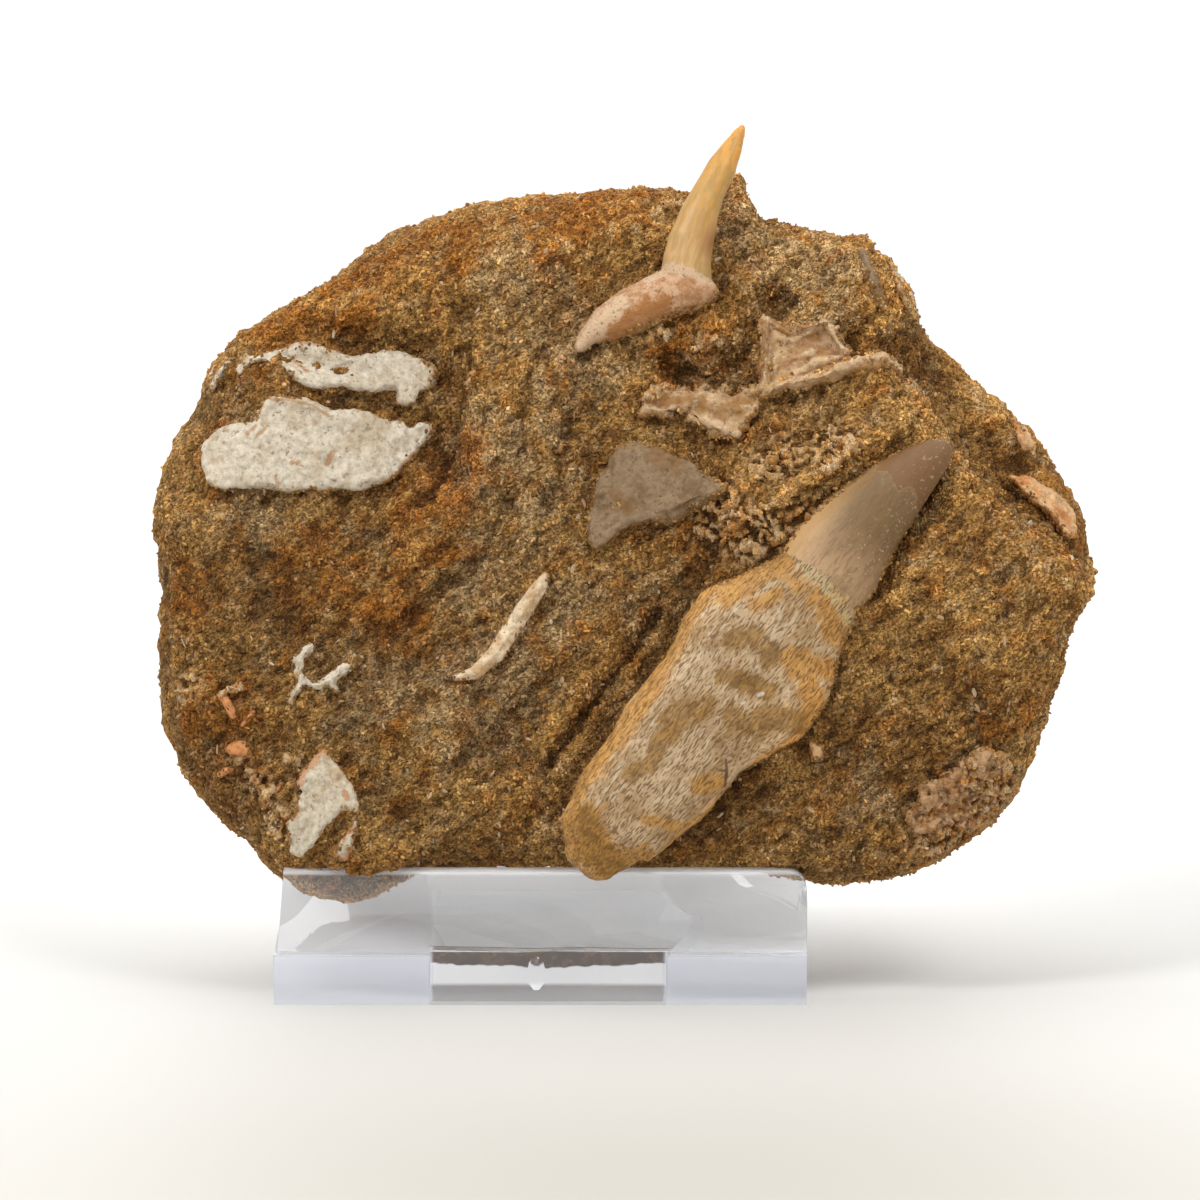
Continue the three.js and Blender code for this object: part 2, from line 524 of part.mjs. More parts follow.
// the ring-shaped bone: its open ring, a lump and a tail on its left, a spur on its right
const RING_BONE = [
  [[-22.0, 17.8, 0.2, 0.8, -0.5], [-22.6, 17.3, 0.3, 0.9, -0.5], [-23.1, 16.6, 0.4, 1.1, -0.6],
    [-23.1, 15.7, 0.4, 1.1, -0.6], [-22.8, 15.0, 0.35, 1.1, -0.6], [-22.2, 14.6, 0.3, 1.1, -0.6],
    [-21.5, 14.6, 0.3, 1.0, -0.6], [-20.7, 15.1, 0.5, 1.0, -0.6], [-19.9, 15.7, 0.5, 1.0, -0.6],
    [-19.2, 16.2, 0.25, 0.8, -0.5]],
  [[-23.0, 15.9, 0.3, 1.0, -0.5], [-23.6, 16.8, 0.25, 0.8, -0.4]],
  [[-22.9, 15.0, 0.3, 1.0, -0.5], [-23.2, 14.3, 0.3, 0.9, -0.5], [-23.8, 13.4, 0.18, 0.7, -0.4]],
  [[-20.7, 15.2, 0.35, 1.0, -0.5], [-20.2, 14.2, 0.25, 0.8, -0.5]],
];
const SPLINTERS = [
  [[-29.1, 14.1, 0.3, 0.9, -0.5], [-28.6, 13.3, 0.4, 1.1, -0.6], [-28.0, 12.3, 0.4, 0.9, -0.5]],
  [[-29.3, 7.9, 0.3, 0.8, -0.5], [-28.7, 8.3, 0.35, 1.0, -0.6], [-28.1, 8.3, 0.25, 0.8, -0.5]],
  [[-27.0, 8.2, 0.25, 0.8, -0.4], [-26.4, 7.4, 0.3, 1.0, -0.5], [-25.9, 6.5, 0.3, 1.0, -0.5],
    [-25.6, 5.9, 0.2, 0.8, -0.5]],
  [[-24.4, 7.2, 0.2, 0.7, -0.4], [-24.7, 6.7, 0.25, 0.8, -0.5], [-25.0, 6.2, 0.2, 0.7, -0.4]],
  [[-26.5, 12.8, 0.15, 0.6, -0.4], [-27.0, 12.2, 0.22, 0.8, -0.4], [-27.5, 11.6, 0.15, 0.6, -0.4]],
];
const ORANGE_CHIP = [
  [-28.9, 9.9], [-28.3, 10.5], [-27.1, 10.7], [-26.9, 10.0], [-26.6, 9.2], [-27.4, 9.1], [-28.4, 9.3],
];
const CREAM_CHIP = [[-24.4, 9.6], [-23.8, 9.6], [-23.5, 9.0], [-23.9, 8.5], [-24.3, 8.7]];
const CRUST_CHIP = [
  [-25.7, 5.2], [-25.0, 5.1], [-24.5, 4.8], [-24.5, 3.8], [-25.1, 4.0], [-25.8, 4.5],
];

// a piece drawn along one or more lines that lie on the ground
function onGround(...lines) {
  return (grow) => joined(lines.map((stops) => drawnAlong(stops, 6, grow, groundHeight)));
}

function flat(outline, thickness, proud) {
  return (grow) => flatPiece(outline, thickness, proud, grow);
}

// name, colour, roughness, and the function that makes the piece at its own size or grown
const FOSSILS = [
  ['mosasaur_tooth', 0xc9ad83, 0.5, mosasaurTooth],
  ['shark_tooth', 0xd0a45c, 0.35, sharkTooth],
  ['upper_white_bone', 0xdfdad0, 0.9, flat(UPPER_WHITE_BONE, 2.4, 0.9)],
  ['lower_white_bone', 0xdfdad0, 0.9, flat(LOWER_WHITE_BONE, 2.6, 1.0)],
  ['grey_fragment', 0x9c8a76, 0.8, flat(GREY_FRAGMENT, 2.4, 0.8)],
  ['broken_bone', 0xd8c2a4, 0.7, brokenBone],
  ['edge_crust', 0xd9bfa0, 0.8, flat(EDGE_CRUST, 1.8, 0.9)],
  ['layered_shell', 0xcfae86, 0.7, flat(LAYERED_SHELL, 1.8, 0.9)],
  ['orange_shell', 0xd99a63, 0.6, flat(ORANGE_SHELL, 1.6, 0.8)],
  ['porous_bone', 0xb98563, 0.8, flat(POROUS_BONE, 2.2, 0.9)],
  ['scale_plate', 0xe3d7c2, 0.6, flat(SCALE_PLATE, 1.8, 1.0)],
  ['small_chip', 0xd9a87c, 0.7, flat(SMALL_CHIP, 1.4, 0.8)],
  ['edge_bone', 0xe6dac8, 0.8, flat(EDGE_BONE, 1.6, 0.8)],
  ['rib_splinter', 0xe8d5b5, 0.5, onGround(RIB_SPLINTER)],
  ['spine', 0x9b8f82, 0.6, onGround(SPINE)],
  ['scale_strip', 0xe0d2bd, 0.6, onGround(SCALE_STRIP)],
  ['ring_bone', 0xe9e0d2, 0.8, onGround(...RING_BONE)],
  ['orange_chip', 0xd98a52, 0.6, flat(ORANGE_CHIP, 1.3, 0.6)],
  ['cream_chip', 0xd8c2a4, 0.7, flat(CREAM_CHIP, 1.2, 0.6)],
  ['crust_chip', 0xd8c2a4, 0.7, flat(CRUST_CHIP, 1.3, 0.7)],
];
SPLINTERS.forEach((stops, i) => {
  FOSSILS.push([`splinter_${i + 1}`, 0xd98a52, 0.6, onGround(stops)]);
});

// ---- the stand: one clear moulding ----

function lipSolid(grow = 0) {
  const half = STAND_WIDTH / 2 + grow;
  const top = LIP_TOP + grow;
  const outline = new THREE.Shape();
  outline.moveTo(-half, 0);
  outline.lineTo(half, 0);
  outline.lineTo(half, top - LIP_CORNER);
  outline.absarc(half - LIP_CORNER, top - LIP_CORNER, LIP_CORNER, 0, Math.PI / 2, false);
  outline.lineTo(-half + LIP_CHAMFER, top);
  const geometry = new THREE.ExtrudeGeometry(outline, {
    depth: LIP_THICKNESS + 2 * grow, bevelEnabled: false, curveSegments: 4,
  });
  geometry.rotateX(Math.PI / 2);
  geometry.translate(STAND_CENTRE_X, LIP_THICKNESS + grow, 0);
  return geometry;
}

function standSolid(restFrontY) {
  const base = new THREE.Shape([
    new THREE.Vector2(-STAND_WIDTH / 2, 0), new THREE.Vector2(STAND_WIDTH / 2, 0),
    new THREE.Vector2(STAND_WIDTH / 2, STAND_DEPTH), new THREE.Vector2(-STAND_WIDTH / 2, STAND_DEPTH),
  ]);
  const left = WINDOW_CENTRE_X - STAND_CENTRE_X - WINDOW_WIDTH / 2;
  const right = left + WINDOW_WIDTH;
  base.holes.push(new THREE.Path([
    new THREE.Vector2(left, WINDOW_FRONT_Y), new THREE.Vector2(left, WINDOW_BACK_Y),
    new THREE.Vector2(right, WINDOW_BACK_Y), new THREE.Vector2(right, WINDOW_FRONT_Y),
  ]));
  const slab = new THREE.ExtrudeGeometry(base, { depth: BASE_HEIGHT, bevelEnabled: false });
  slab.translate(STAND_CENTRE_X, 0, 0);

  // the rest leans back from the slab; its outline has round upper corners
  const half = REST_WIDTH / 2;
  const length = REST_TOP / Math.cos(REST_LEAN);
  const plate = new THREE.Shape();
  plate.moveTo(-half, 1);
  plate.lineTo(half, 1);
  plate.lineTo(half, length - REST_CORNER);
  plate.absarc(half - REST_CORNER, length - REST_CORNER, REST_CORNER, 0, Math.PI / 2, false);
  plate.absarc(-half + REST_CORNER, length - REST_CORNER, REST_CORNER, Math.PI / 2, Math.PI, false);
  const rest = new THREE.ExtrudeGeometry(plate, {
    depth: REST_THICKNESS, bevelEnabled: false, curveSegments: 4,
  });
  rest.rotateX(Math.PI / 2);
  rest.translate(0, REST_THICKNESS, 0);
  rest.rotateX(-REST_LEAN);
  rest.translate(STAND_CENTRE_X, restFrontY, 0);

  // the mark left by the mould's gate, on the front of the base
  const gate = new THREE.SphereGeometry(1, 10, 6);
  gate.scale(...GATE_SIZE);
  gate.translate(...GATE_PLACE);
  return joined([slab, lipSolid(), rest, gate]);
}

// ---- assembly ----

function named(name, geometry, color, surface) {
  const mesh = new THREE.Mesh(geometry, new THREE.MeshStandardMaterial({ color, ...surface }));
  mesh.name = name;
  return mesh;
}

const blockFrame = new THREE.Group();
blockFrame.rotation.x = Math.PI / 2 - BLOCK_LEAN;
blockFrame.position.set(0, BLOCK_FOOT_Y, BLOCK_FOOT_Z);
blockFrame.updateMatrixWorld(true);

// the narrow spire of rock behind the shark tooth
const ROCK_SPIRE = [
  [11.0, 49.0, 2.6, -0.4, -6.0], [10.8, 51.6, 1.5, -0.8, -5.6], [10.6, 53.4, 0.8, -1.0, -4.6],
  [10.7, 54.9, 0.5, -1.6, -3.6],
];

let block = toManifold(blockSolid()).add(toManifold(drawnAlong(ROCK_SPIRE, 8)));
for (const [, , , make] of FOSSILS) {
  block = block.subtract(toManifold(make(FIT_GAP)));
}
const lipInBlockFrame = lipSolid(FIT_GAP).applyMatrix4(blockFrame.matrixWorld.clone().invert());
block = block.subtract(toManifold(lipInBlockFrame));
const blockGeometry = toGeometry(block);

// the rest stands just clear of the block's furthest lump behind it
function restFront(geometry) {
  const placed = geometry.clone().applyMatrix4(blockFrame.matrixWorld).attributes.position;
  const slope = Math.tan(REST_LEAN);
  let front = -Infinity;
  for (let i = 0; i < placed.count; i += 1) {
    const beside = Math.abs(placed.getX(i) - STAND_CENTRE_X) < REST_WIDTH / 2 + 4;
    if (beside && placed.getZ(i) < REST_TOP + 3) {
      front = Math.max(front, placed.getY(i) - slope * placed.getZ(i));
    }
  }
  return front + FIT_GAP / Math.cos(REST_LEAN);
}

const whole = new THREE.Group();
blockFrame.add(named('matrix', blockGeometry, 0x9a7346, { roughness: 0.95 }));
for (const [name, color, roughnessValue, make] of FOSSILS) {
  blockFrame.add(named(name, make(0), color, { roughness: roughnessValue }));
}
whole.add(blockFrame);
whole.add(named('display_stand', standSolid(restFront(blockGeometry)), 0xdfe4f2, {
  roughness: 0.05, transparent: true, opacity: 0.35,
}));

const extent = new THREE.Box3().setFromObject(whole, true);
const footprint = extent.getCenter(new THREE.Vector3());
whole.position.set(-footprint.x, -footprint.y, -extent.min.z);

export default whole;
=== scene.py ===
"""A mosasaur tooth with its root, in a block of phosphatic sandstone that leans on a clear stand.

The block has a frame of its own: u runs across its face, v up the face and w out of it, in
millimetres. Everything in the scene itself is in metres.
"""

import math

import bpy
import numpy
from mathutils import Matrix, Vector


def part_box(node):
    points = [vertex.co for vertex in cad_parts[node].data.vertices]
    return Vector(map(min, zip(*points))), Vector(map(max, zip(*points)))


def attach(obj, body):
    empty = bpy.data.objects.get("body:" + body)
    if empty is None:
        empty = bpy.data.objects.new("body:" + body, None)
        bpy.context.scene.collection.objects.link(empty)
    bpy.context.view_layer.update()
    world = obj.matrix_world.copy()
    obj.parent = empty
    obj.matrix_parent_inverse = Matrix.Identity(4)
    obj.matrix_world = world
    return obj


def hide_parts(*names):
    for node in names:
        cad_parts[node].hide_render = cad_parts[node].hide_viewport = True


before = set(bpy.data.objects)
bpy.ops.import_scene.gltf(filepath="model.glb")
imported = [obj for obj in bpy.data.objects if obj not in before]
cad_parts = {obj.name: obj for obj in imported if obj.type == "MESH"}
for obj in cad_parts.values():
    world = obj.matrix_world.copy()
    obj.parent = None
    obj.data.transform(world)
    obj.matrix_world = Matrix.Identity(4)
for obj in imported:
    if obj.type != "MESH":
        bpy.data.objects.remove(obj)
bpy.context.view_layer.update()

MM = 0.001

# ---- where the block and its stand are, from the frame and a few of the part's own sizes ----

STAND_WIDTH = 41.0
STAND_CENTRE_X = -4.6
BASE_HEIGHT = 3.9           # of the stand's base slab, below its lip
LIP_TOP = 10.4
WINDOW_WIDTH = 18.0         # of the opening in the stand's base
WINDOW_CENTRE_X = -4.0
WINDOW_FRONT = 3.0          # how far behind the stand's front the opening starts
GATE_DEPTH = 0.35           # how far the moulding's gate mark stands out of the stand's front
BLOCK_LEAN = math.radians(15)
BLOCK_FOOT = (0.0, -1.5, 10.3)
TOOTH_START = (1.07, -0.62)
TOOTH_AXIS = (0.6134, 0.7897)
CROWN_STARTS_AT = 28.3      # along the tooth from the root's end
OLD_BREAK_AT = 37.15        # where the crown's tip was once broken off
SHARK_NECK = (6.9, 46.6, 3)         # where the shark tooth's crown leaves its root
SHARK_TIP = (10.95, 58.3, 1)
SHARK_CROWN_LENGTH = 12.3
FACE_EDGE = -4.5            # how far back, along w, the fine surface of the face reaches

stand_low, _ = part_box("display_stand")
PART_SHIFT = Vector((
    stand_low.x / MM - (STAND_CENTRE_X - STAND_WIDTH / 2),
    stand_low.y / MM + GATE_DEPTH,
    0.0,
))


def stand_point(x, y, z):
    """A point given in the stand's frame, in millimetres."""
    return (Vector((x, y, z)) + PART_SHIFT) * MM


BLOCK_ORIGIN = stand_point(*BLOCK_FOOT)
BLOCK_RIGHT = Vector((1, 0, 0))
BLOCK_UP = Vector((0, math.sin(BLOCK_LEAN), math.cos(BLOCK_LEAN)))
BLOCK_OUT = Vector((0, -math.cos(BLOCK_LEAN), math.sin(BLOCK_LEAN)))
BLOCK_AXES = (BLOCK_RIGHT, BLOCK_UP, BLOCK_OUT)
# along the sand's bedding, across it, and out of the face
BED_AXES = (0.80 * BLOCK_RIGHT + 0.60 * BLOCK_UP, 0.60 * BLOCK_RIGHT - 0.80 * BLOCK_UP, BLOCK_OUT)
# along the mosasaur tooth, across it, and out of the face
TOOTH_AXES = (
    TOOTH_AXIS[0] * BLOCK_RIGHT + TOOTH_AXIS[1] * BLOCK_UP,
    TOOTH_AXIS[1] * BLOCK_RIGHT - TOOTH_AXIS[0] * BLOCK_UP,
    BLOCK_OUT,
)


def block_point(u, v, w=0.0):
    """A point given in the block's frame."""
    return BLOCK_ORIGIN + (u * BLOCK_RIGHT + v * BLOCK_UP + w * BLOCK_OUT) * MM


TOOTH_END = block_point(*TOOTH_START)


# ---- small helpers for node trees: a finish's, or one that shapes a mesh ----

def paint(red, green, blue):
    """A colour given as it looks on a screen, 0 to 255."""
    def straight(value):
        value /= 255
        return value / 12.92 if value <= 0.04045 else ((value + 0.055) / 1.055) ** 2.4
    return (straight(red), straight(green), straight(blue), 1.0)


def put(tree, kind, inputs=None, **settings):
    """Adds a node; each input is either another node's socket or a plain value."""
    made = tree.nodes.new(kind)
    for key, value in settings.items():
        setattr(made, key, value)
    for key, value in (inputs or {}).items():
        if isinstance(value, bpy.types.NodeSocket):
            tree.links.new(value, made.inputs[key])
        else:
            made.inputs[key].default_value = value
    return made


def sums(tree, operation, first, *others):
    """The operation on the first value and each of the others in turn, or on the first alone."""
    for other in others or (0.0,):
        first = put(tree, "ShaderNodeMath", {0: first, 1: other}, operation=operation).outputs[0]
    return first


def off(tree, value, middle):
    """How far the value is from the middle, either way."""
    return sums(tree, "ABSOLUTE", sums(tree, "SUBTRACT", value, middle))


def leaning(tree, value, other, factor):
    """A value pushed by another, such as a cloud that is thicker where the spots are."""
    return sums(tree, "ADD", value, sums(tree, "MULTIPLY", other, factor))


def arrows(tree, operation, first, second):
    """Vector sums; the answer is a vector, or a number for a dot product or a distance."""
    made = put(tree, "ShaderNodeVectorMath", {0: first, 1: second}, operation=operation)
    return made.outputs["Value" if operation in ("DOT_PRODUCT", "DISTANCE") else "Vector"]


def level(tree, value, low, high, to_low=0.0, to_high=1.0):
    """Eases from to_low to to_high as the value goes from low to high."""
    return put(tree, "ShaderNodeMapRange", {
        "Value": value, "From Min": low, "From Max": high, "To Min": to_low, "To Max": to_high},
        interpolation_type="SMOOTHSTEP").outputs[0]


def clouds(tree, place, size, detail=3.0, rough=0.6, color=False):
    """Cloudy values round 0.5; size is the width of the clouds in millimetres."""
    made = put(tree, "ShaderNodeTexNoise", {
        "Vector": place, "Scale": 1 / (size * MM), "Detail": detail, "Roughness": rough})
    return made.outputs["Color" if color else 0]


def moved(tree, place, *shift):
    """The place shifted by millimetres, so that clouds there differ from those at the place."""
    return arrows(tree, "ADD", place, [step * MM for step in shift])


def wandering(tree, place, size, reach):
    """The place, pushed about by noise so that borders wander."""
    centred = arrows(tree, "SUBTRACT", clouds(tree, place, size, color=True), (0.5, 0.5, 0.5))
    push = arrows(tree, "MULTIPLY", centred, (reach * MM,) * 3)
    return arrows(tree, "ADD", place, push)


def turned(tree, place, origin, axes, stretch=(1, 1, 1)):
    """The place measured along three directions from an origin, each one stretched."""
    offset = arrows(tree, "SUBTRACT", place, origin)
    parts = [arrows(tree, "DOT_PRODUCT", offset, axis * factor) for axis, factor in zip(axes, stretch)]
    made = put(tree, "ShaderNodeCombineXYZ", {0: parts[0], 1: parts[1], 2: parts[2]})
    return made.outputs[0], parts


def spots(tree, place, centres):
    """1 inside any of the round spots, easing to 0 outside; each is u, v, radius on the face."""
    inside = []
    for u, v, radius in centres:
        reach = arrows(tree, "DISTANCE", place, block_point(u, v, -1))
        inside.append(level(tree, reach, 1.3 * radius * MM, 0.45 * radius * MM))
    return sums(tree, "MAXIMUM", *inside)


# ---- helpers for finishes ----

def new_finish(name):
    """An empty finish, its tree and the socket for places on the object."""
    finish = bpy.data.materials.new(name)
    finish.use_nodes = True
    tree = finish.node_tree
    tree.nodes.clear()
    return finish, tree, put(tree, "ShaderNodeTexCoord").outputs["Object"]


def show(tree, shader, volume=None):
    """Ends a finish with the shader of its surface and, if it is clear, of its depth."""
    output = put(tree, "ShaderNodeOutputMaterial", {"Surface": shader.outputs[0]})
    if volume is not None:
        tree.links.new(volume.outputs[0], output.inputs["Volume"])


def show_opaque(tree, color, roughness, shine, **others):
    """Ends a finish with an opaque surface; shine is how strong its highlights are."""
    show(tree, put(tree, "ShaderNodeBsdfPrincipled", {
        "Base Color": color, "Roughness": roughness, "Specular IOR Level": shine, **others}))


def kept(tree, name):
    """A value that the mesh keeps at each of its points."""
    return put(tree, "ShaderNodeAttribute", attribute_name=name).outputs["Fac"]


def mix(tree, share, first, second, blend="MIX"):
    """A colour between the first and the second, or the first blended with the second."""
    return put(tree, "ShaderNodeMix", {0: share, 6: first, 7: second},
               data_type="RGBA", blend_type=blend).outputs[2]


def between(tree, value, low, high, first, second):
    """From the first paint to the second as the value goes from low to high."""
    return mix(tree, level(tree, value, low, high), paint(*first), paint(*second))


def over(tree, color, share, *layer):
    """The colour with paint over it, as thick as the share."""
    return mix(tree, share, color, paint(*layer))


def coated(tree, color, value, low, high, share, *layer):
    """The colour with paint over it where the value is near high, as thick as the share there."""
    return over(tree, color, level(tree, value, low, high, 0, share), *layer)


def blend_of(tree, share, first, second):
    """A number between the first and the second."""
    return put(tree, "ShaderNodeMix", {0: share, 2: first, 3: second}, data_type="FLOAT").outputs[0]


def bump(tree, height, depth, strength=1.0, normal=None):
    """A bumpy surface; depth is in millimetres, and normal is a bumpy surface that it adds to."""
    inputs = {"Height": height, "Distance": depth * MM, "Strength": strength}
    if normal is not None:
        inputs["Normal"] = normal
    return put(tree, "ShaderNodeBump", inputs).outputs[0]


def ramp_of(tree, value, stops):
    """A colour that follows the value; each stop is a position and a colour."""
    ramp = put(tree, "ShaderNodeValToRGB", {"Fac": value})
    elements = ramp.color_ramp.elements
    for position, _ in stops[1:-1]:
        elements.new(position)
    for element, (position, color) in zip(elements, stops):
        element.position = position
        element.color = color
    return ramp.outputs[0]


def toned(tree, value, color, stops):
    """The colour times a tone that follows the value; each stop is a position and a linear tone."""
    tones = ramp_of(tree, value, [(position, (*tone, 1)) for position, tone in stops])
    return mix(tree, 1.0, color, tones, "MULTIPLY")


def ragged_contact(tree, place):
    """How near the rock is, in millimetres, made ragged so that stains end unevenly."""
    ragged = clouds(tree, moved(tree, place, 4, 4, 1), 0.8, 4.0, 0.7)
    return leaning(tree, kept(tree, "contact"), ragged, 1.2)


def stained(tree, place, name, size, most_of=0.85):
    """A kept stain with its border broken up by clouds."""
    ragged = leaning(tree, kept(tree, name), clouds(tree, place, size, 6.0, 0.78), 3.0)
    return level(tree, ragged, 1.85, 2.35, 0, most_of)


# ---- the rock's finishes; each spot is u, v, radius ----

RUST_SPOTS = [
    (-11.3, 31, 4.0), (-13, 27, 4.0), (-16, 20.5, 3.5), (-22, 23.5, 4.5), (-26, 43, 4.5), (-19, 46, 5),
    (-2, 52, 6), (-32, 22, 3.5), (-29, 12, 4.0), (31, 13, 4), (36, 24, 2.5), (12.5, 33, 3.0),
    (29, 4, 5), (-31, 33, 3), (-12, 50, 4), (14.5, 35.5, 3.0), (18, 38, 2.0), (6.5, 40.5, 3.5),
]
GREY_SPOTS = [
    (-7, 32, 6), (-9, 24, 4.5), (-9, 14, 6), (-2, 41, 4.5), (-17, 14.5, 4.5), (-29, 36, 2.5),
    (31, 25, 3.5), (10, 50, 4.0), (-26, 27.5, 3.0), (16, 46, 5), (-3, 20, 4), (4, 21, 3.5),
    (-6, 46, 4), (24, 20, 3), (8.5, 39.6, 3.5), (25.5, 26, 3.5), (20, 7, 3.0),
]
# dark brown patches, and painted shade in a few hollows: the recess beside the white bones, pits by the
# shark tooth and beside the mosasaur root's right side
DARK_AND_SHADED_SPOTS = [
    (13.6, 44.5, 1.5), (10.7, 50.3, 1.5), (-11.9, 34.0, 2.0), (8, 6, 5), (-33, 8, 5), (-29.5, 5.5, 4),
    (18, 2, 4.5), (-27, 21.5, 5.5),
]
# where the rock is full of crushed spongy bone: u, v, radius
SPONGY_SPOTS = [
    (14.2, 32.0, 1.5), (17.8, 32.8, 1.7), (12.6, 30.9, 1.2), (9.0, 28.2, 1.8), (12.3, 26.3, 1.8),
    (15.8, 27.2, 1.6), (10.6, 25.4, 1.3), (9.3, 34.4, 1.2), (25.5, 3.5, 1.8), (27.4, 5.6, 2.2),
    (29.8, 7.6, 2.0), (26.6, 7.0, 1.4), (29.6, 5.2, 1.5), (-26.2, 7.2, 0.9),
    (-25.0, 4.6, 1.0), (14.0, 39.7, 1.2), (33.4, 34.6, 1.2), (-31.6, 14.7, 0.9),
]


def rock_colours(tree, place):
    """Sand colours that change across the block: tan, rust, grey and dark brown, in clumps, with painted
    shade in a few hollows and lighter towards the upper right.
    """
    wander = wandering(tree, place, 3.0, 5.0)
    warm = leaning(tree, clouds(tree, place, 2.4, 5.0, 0.72), spots(tree, wander, RUST_SPOTS), 0.16)
    cool = leaning(tree, clouds(tree, moved(tree, place, 7, 3, 5), 1.8, 5.0, 0.72),
                   spots(tree, wander, GREY_SPOTS), 0.14)
    dark_and_shaded = leaning(tree, clouds(tree, moved(tree, place, 1, 9, 2), 2.0, 5.0, 0.7),
                  spots(tree, wander, DARK_AND_SHADED_SPOTS), 0.2)
    color = between(tree, clouds(tree, place, 7.0, 5.0, 0.65), 0.38, 0.62, (164, 126, 71), (134, 96, 47))
    color = coated(tree, color, cool, 0.48, 0.70, 0.8, 166, 140, 102)
    color = coated(tree, color, warm, 0.49, 0.72, 0.8, 142, 85, 20)
    # dark brown, and painted shade where the spots lie in hollows
    color = coated(tree, color, dark_and_shaded, 0.56, 0.80, 0.7, 97, 68, 31)

    # lighter towards the block's upper right, darker towards its lower left
    _, (right, up, _) = turned(tree, place, block_point(0, 27), BLOCK_AXES)
    towards_upper_right = level(tree, leaning(tree, up, right, 0.45), -30 * MM, 30 * MM)
    return toned(tree, towards_upper_right, color, [
        (0.0, (0.84, 0.84, 0.84)), (0.5, (0.97, 0.97, 0.97)), (1.0, (1.18, 1.18, 1.18))])


def curls(tree, place, size):
    """Worm-like crests of cement between sand grains: 1 on a crest, 0 in the pits."""
    return level(tree, off(tree, clouds(tree, place, size, 1.5, 0.5), 0.5), 0.11, 0.0)


def hollow_shade_painted(tree, color):
    """Painted shade darkens hollows of all widths, and painted light makes crests pale."""
    hollow = kept(tree, "hollow")
    valley = kept(tree, "valley")
    # painted shade in the face's wide valleys, painted light on its broad rises
    color = toned(tree, level(tree, valley, -0.9, 0.9), color, [
        (0.0, (1.25, 1.25, 1.25)), (0.5, (1.0, 1.0, 1.0)), (1.0, (0.84, 0.79, 0.71))])
    # painted shade in the narrow hollows, painted light on the small crests
    return toned(tree, level(tree, hollow, -0.22, 0.22), color, [
        (0.0, (1.4, 1.38, 1.36)), (0.5, (1.0, 1.0, 1.0)), (1.0, (0.45, 0.39, 0.32))])


def rock_finish():
    """The sandstone itself: curls of pale cement with dark pits between them, their darkness partly painted
    shade; its hollows get painted shade and its crests painted light.
    """
    finish, tree, place = new_finish("sandstone")
    bed, _ = turned(tree, place, BLOCK_ORIGIN, BED_AXES, (0.75, 1.0, 1.0))
    bent = wandering(tree, bed, 0.6, 0.5)
    crests = sums(tree, "ADD", curls(tree, bent, 0.42), curls(tree, moved(tree, bent, 5, 2, 8), 0.30))
    height = sums(tree, "MULTIPLY", crests, 0.5)
    # the curls' tone: pale cement on the crests, the pits darker partly by their own colour and partly as
    # painted shade
    color = toned(tree, height, rock_colours(tree, place), [
        (0.0, (0.34, 0.28, 0.20)), (0.42, (0.84, 0.82, 0.78)), (1.0, (1.62, 1.65, 1.68))])
    bony = sums(tree, "MULTIPLY", kept(tree, "spongy"),
                level(tree, kept(tree, "hollow"), 0.08, -0.12, 0.05, 0.75))
    chalky = between(tree, clouds(tree, place, 1.2, 4.0), 0.35, 0.65, (206, 180, 144), (164, 122, 72))
    color = hollow_shade_painted(tree, mix(tree, bony, color, chalky))
    grit = bump(tree, clouds(tree, place, 0.25, 3.0, 0.7), 0.12, 0.7)
    show_opaque(tree, color, 0.88, 0.2, Normal=bump(tree, height, 0.20, 0.9, grit))
    return finish


def sand_finish():
    """Sand grains: each is a little lighter or darker than the rock round it, with painted shade in the
    face's hollows and painted light on its crests.
    """
    finish, tree, place = new_finish("sand grains")
    color = toned(tree, kept(tree, "tint"), rock_colours(tree, place), [
        (0.0, (0.45, 0.38, 0.30)), (0.5, (0.95, 0.93, 0.90)), (0.9, (1.35, 1.38, 1.42)),
        (1.0, (1.7, 1.8, 1.95))])
    show_opaque(tree, hollow_shade_painted(tree, color), 0.72, 0.3,
                Normal=bump(tree, clouds(tree, place, 0.12, 3.0), 0.05, 0.6))
    return finish


def chip_finish():
    """Chips of shell and bone in the sand: white, cream, peach and grey."""
    finish, tree, place = new_finish("shell chips")
    own = ramp_of(tree, kept(tree, "tint"), [
        (0.0, paint(190, 174, 148)), (0.3, paint(176, 152, 120)), (0.55, paint(188, 146, 104)),
        (0.75, paint(166, 114, 72)), (1.0, paint(150, 134, 108))])
    color = coated(tree, own, clouds(tree, place, 0.5, 4.0), 0.45, 0.6, 0.6, 150, 116, 76)
    show_opaque(tree, color, 0.55, 0.5, Normal=bump(tree, clouds(tree, place, 0.2, 3.0), 0.06, 0.6))
    return finish


# ---- the teeth's finishes ----

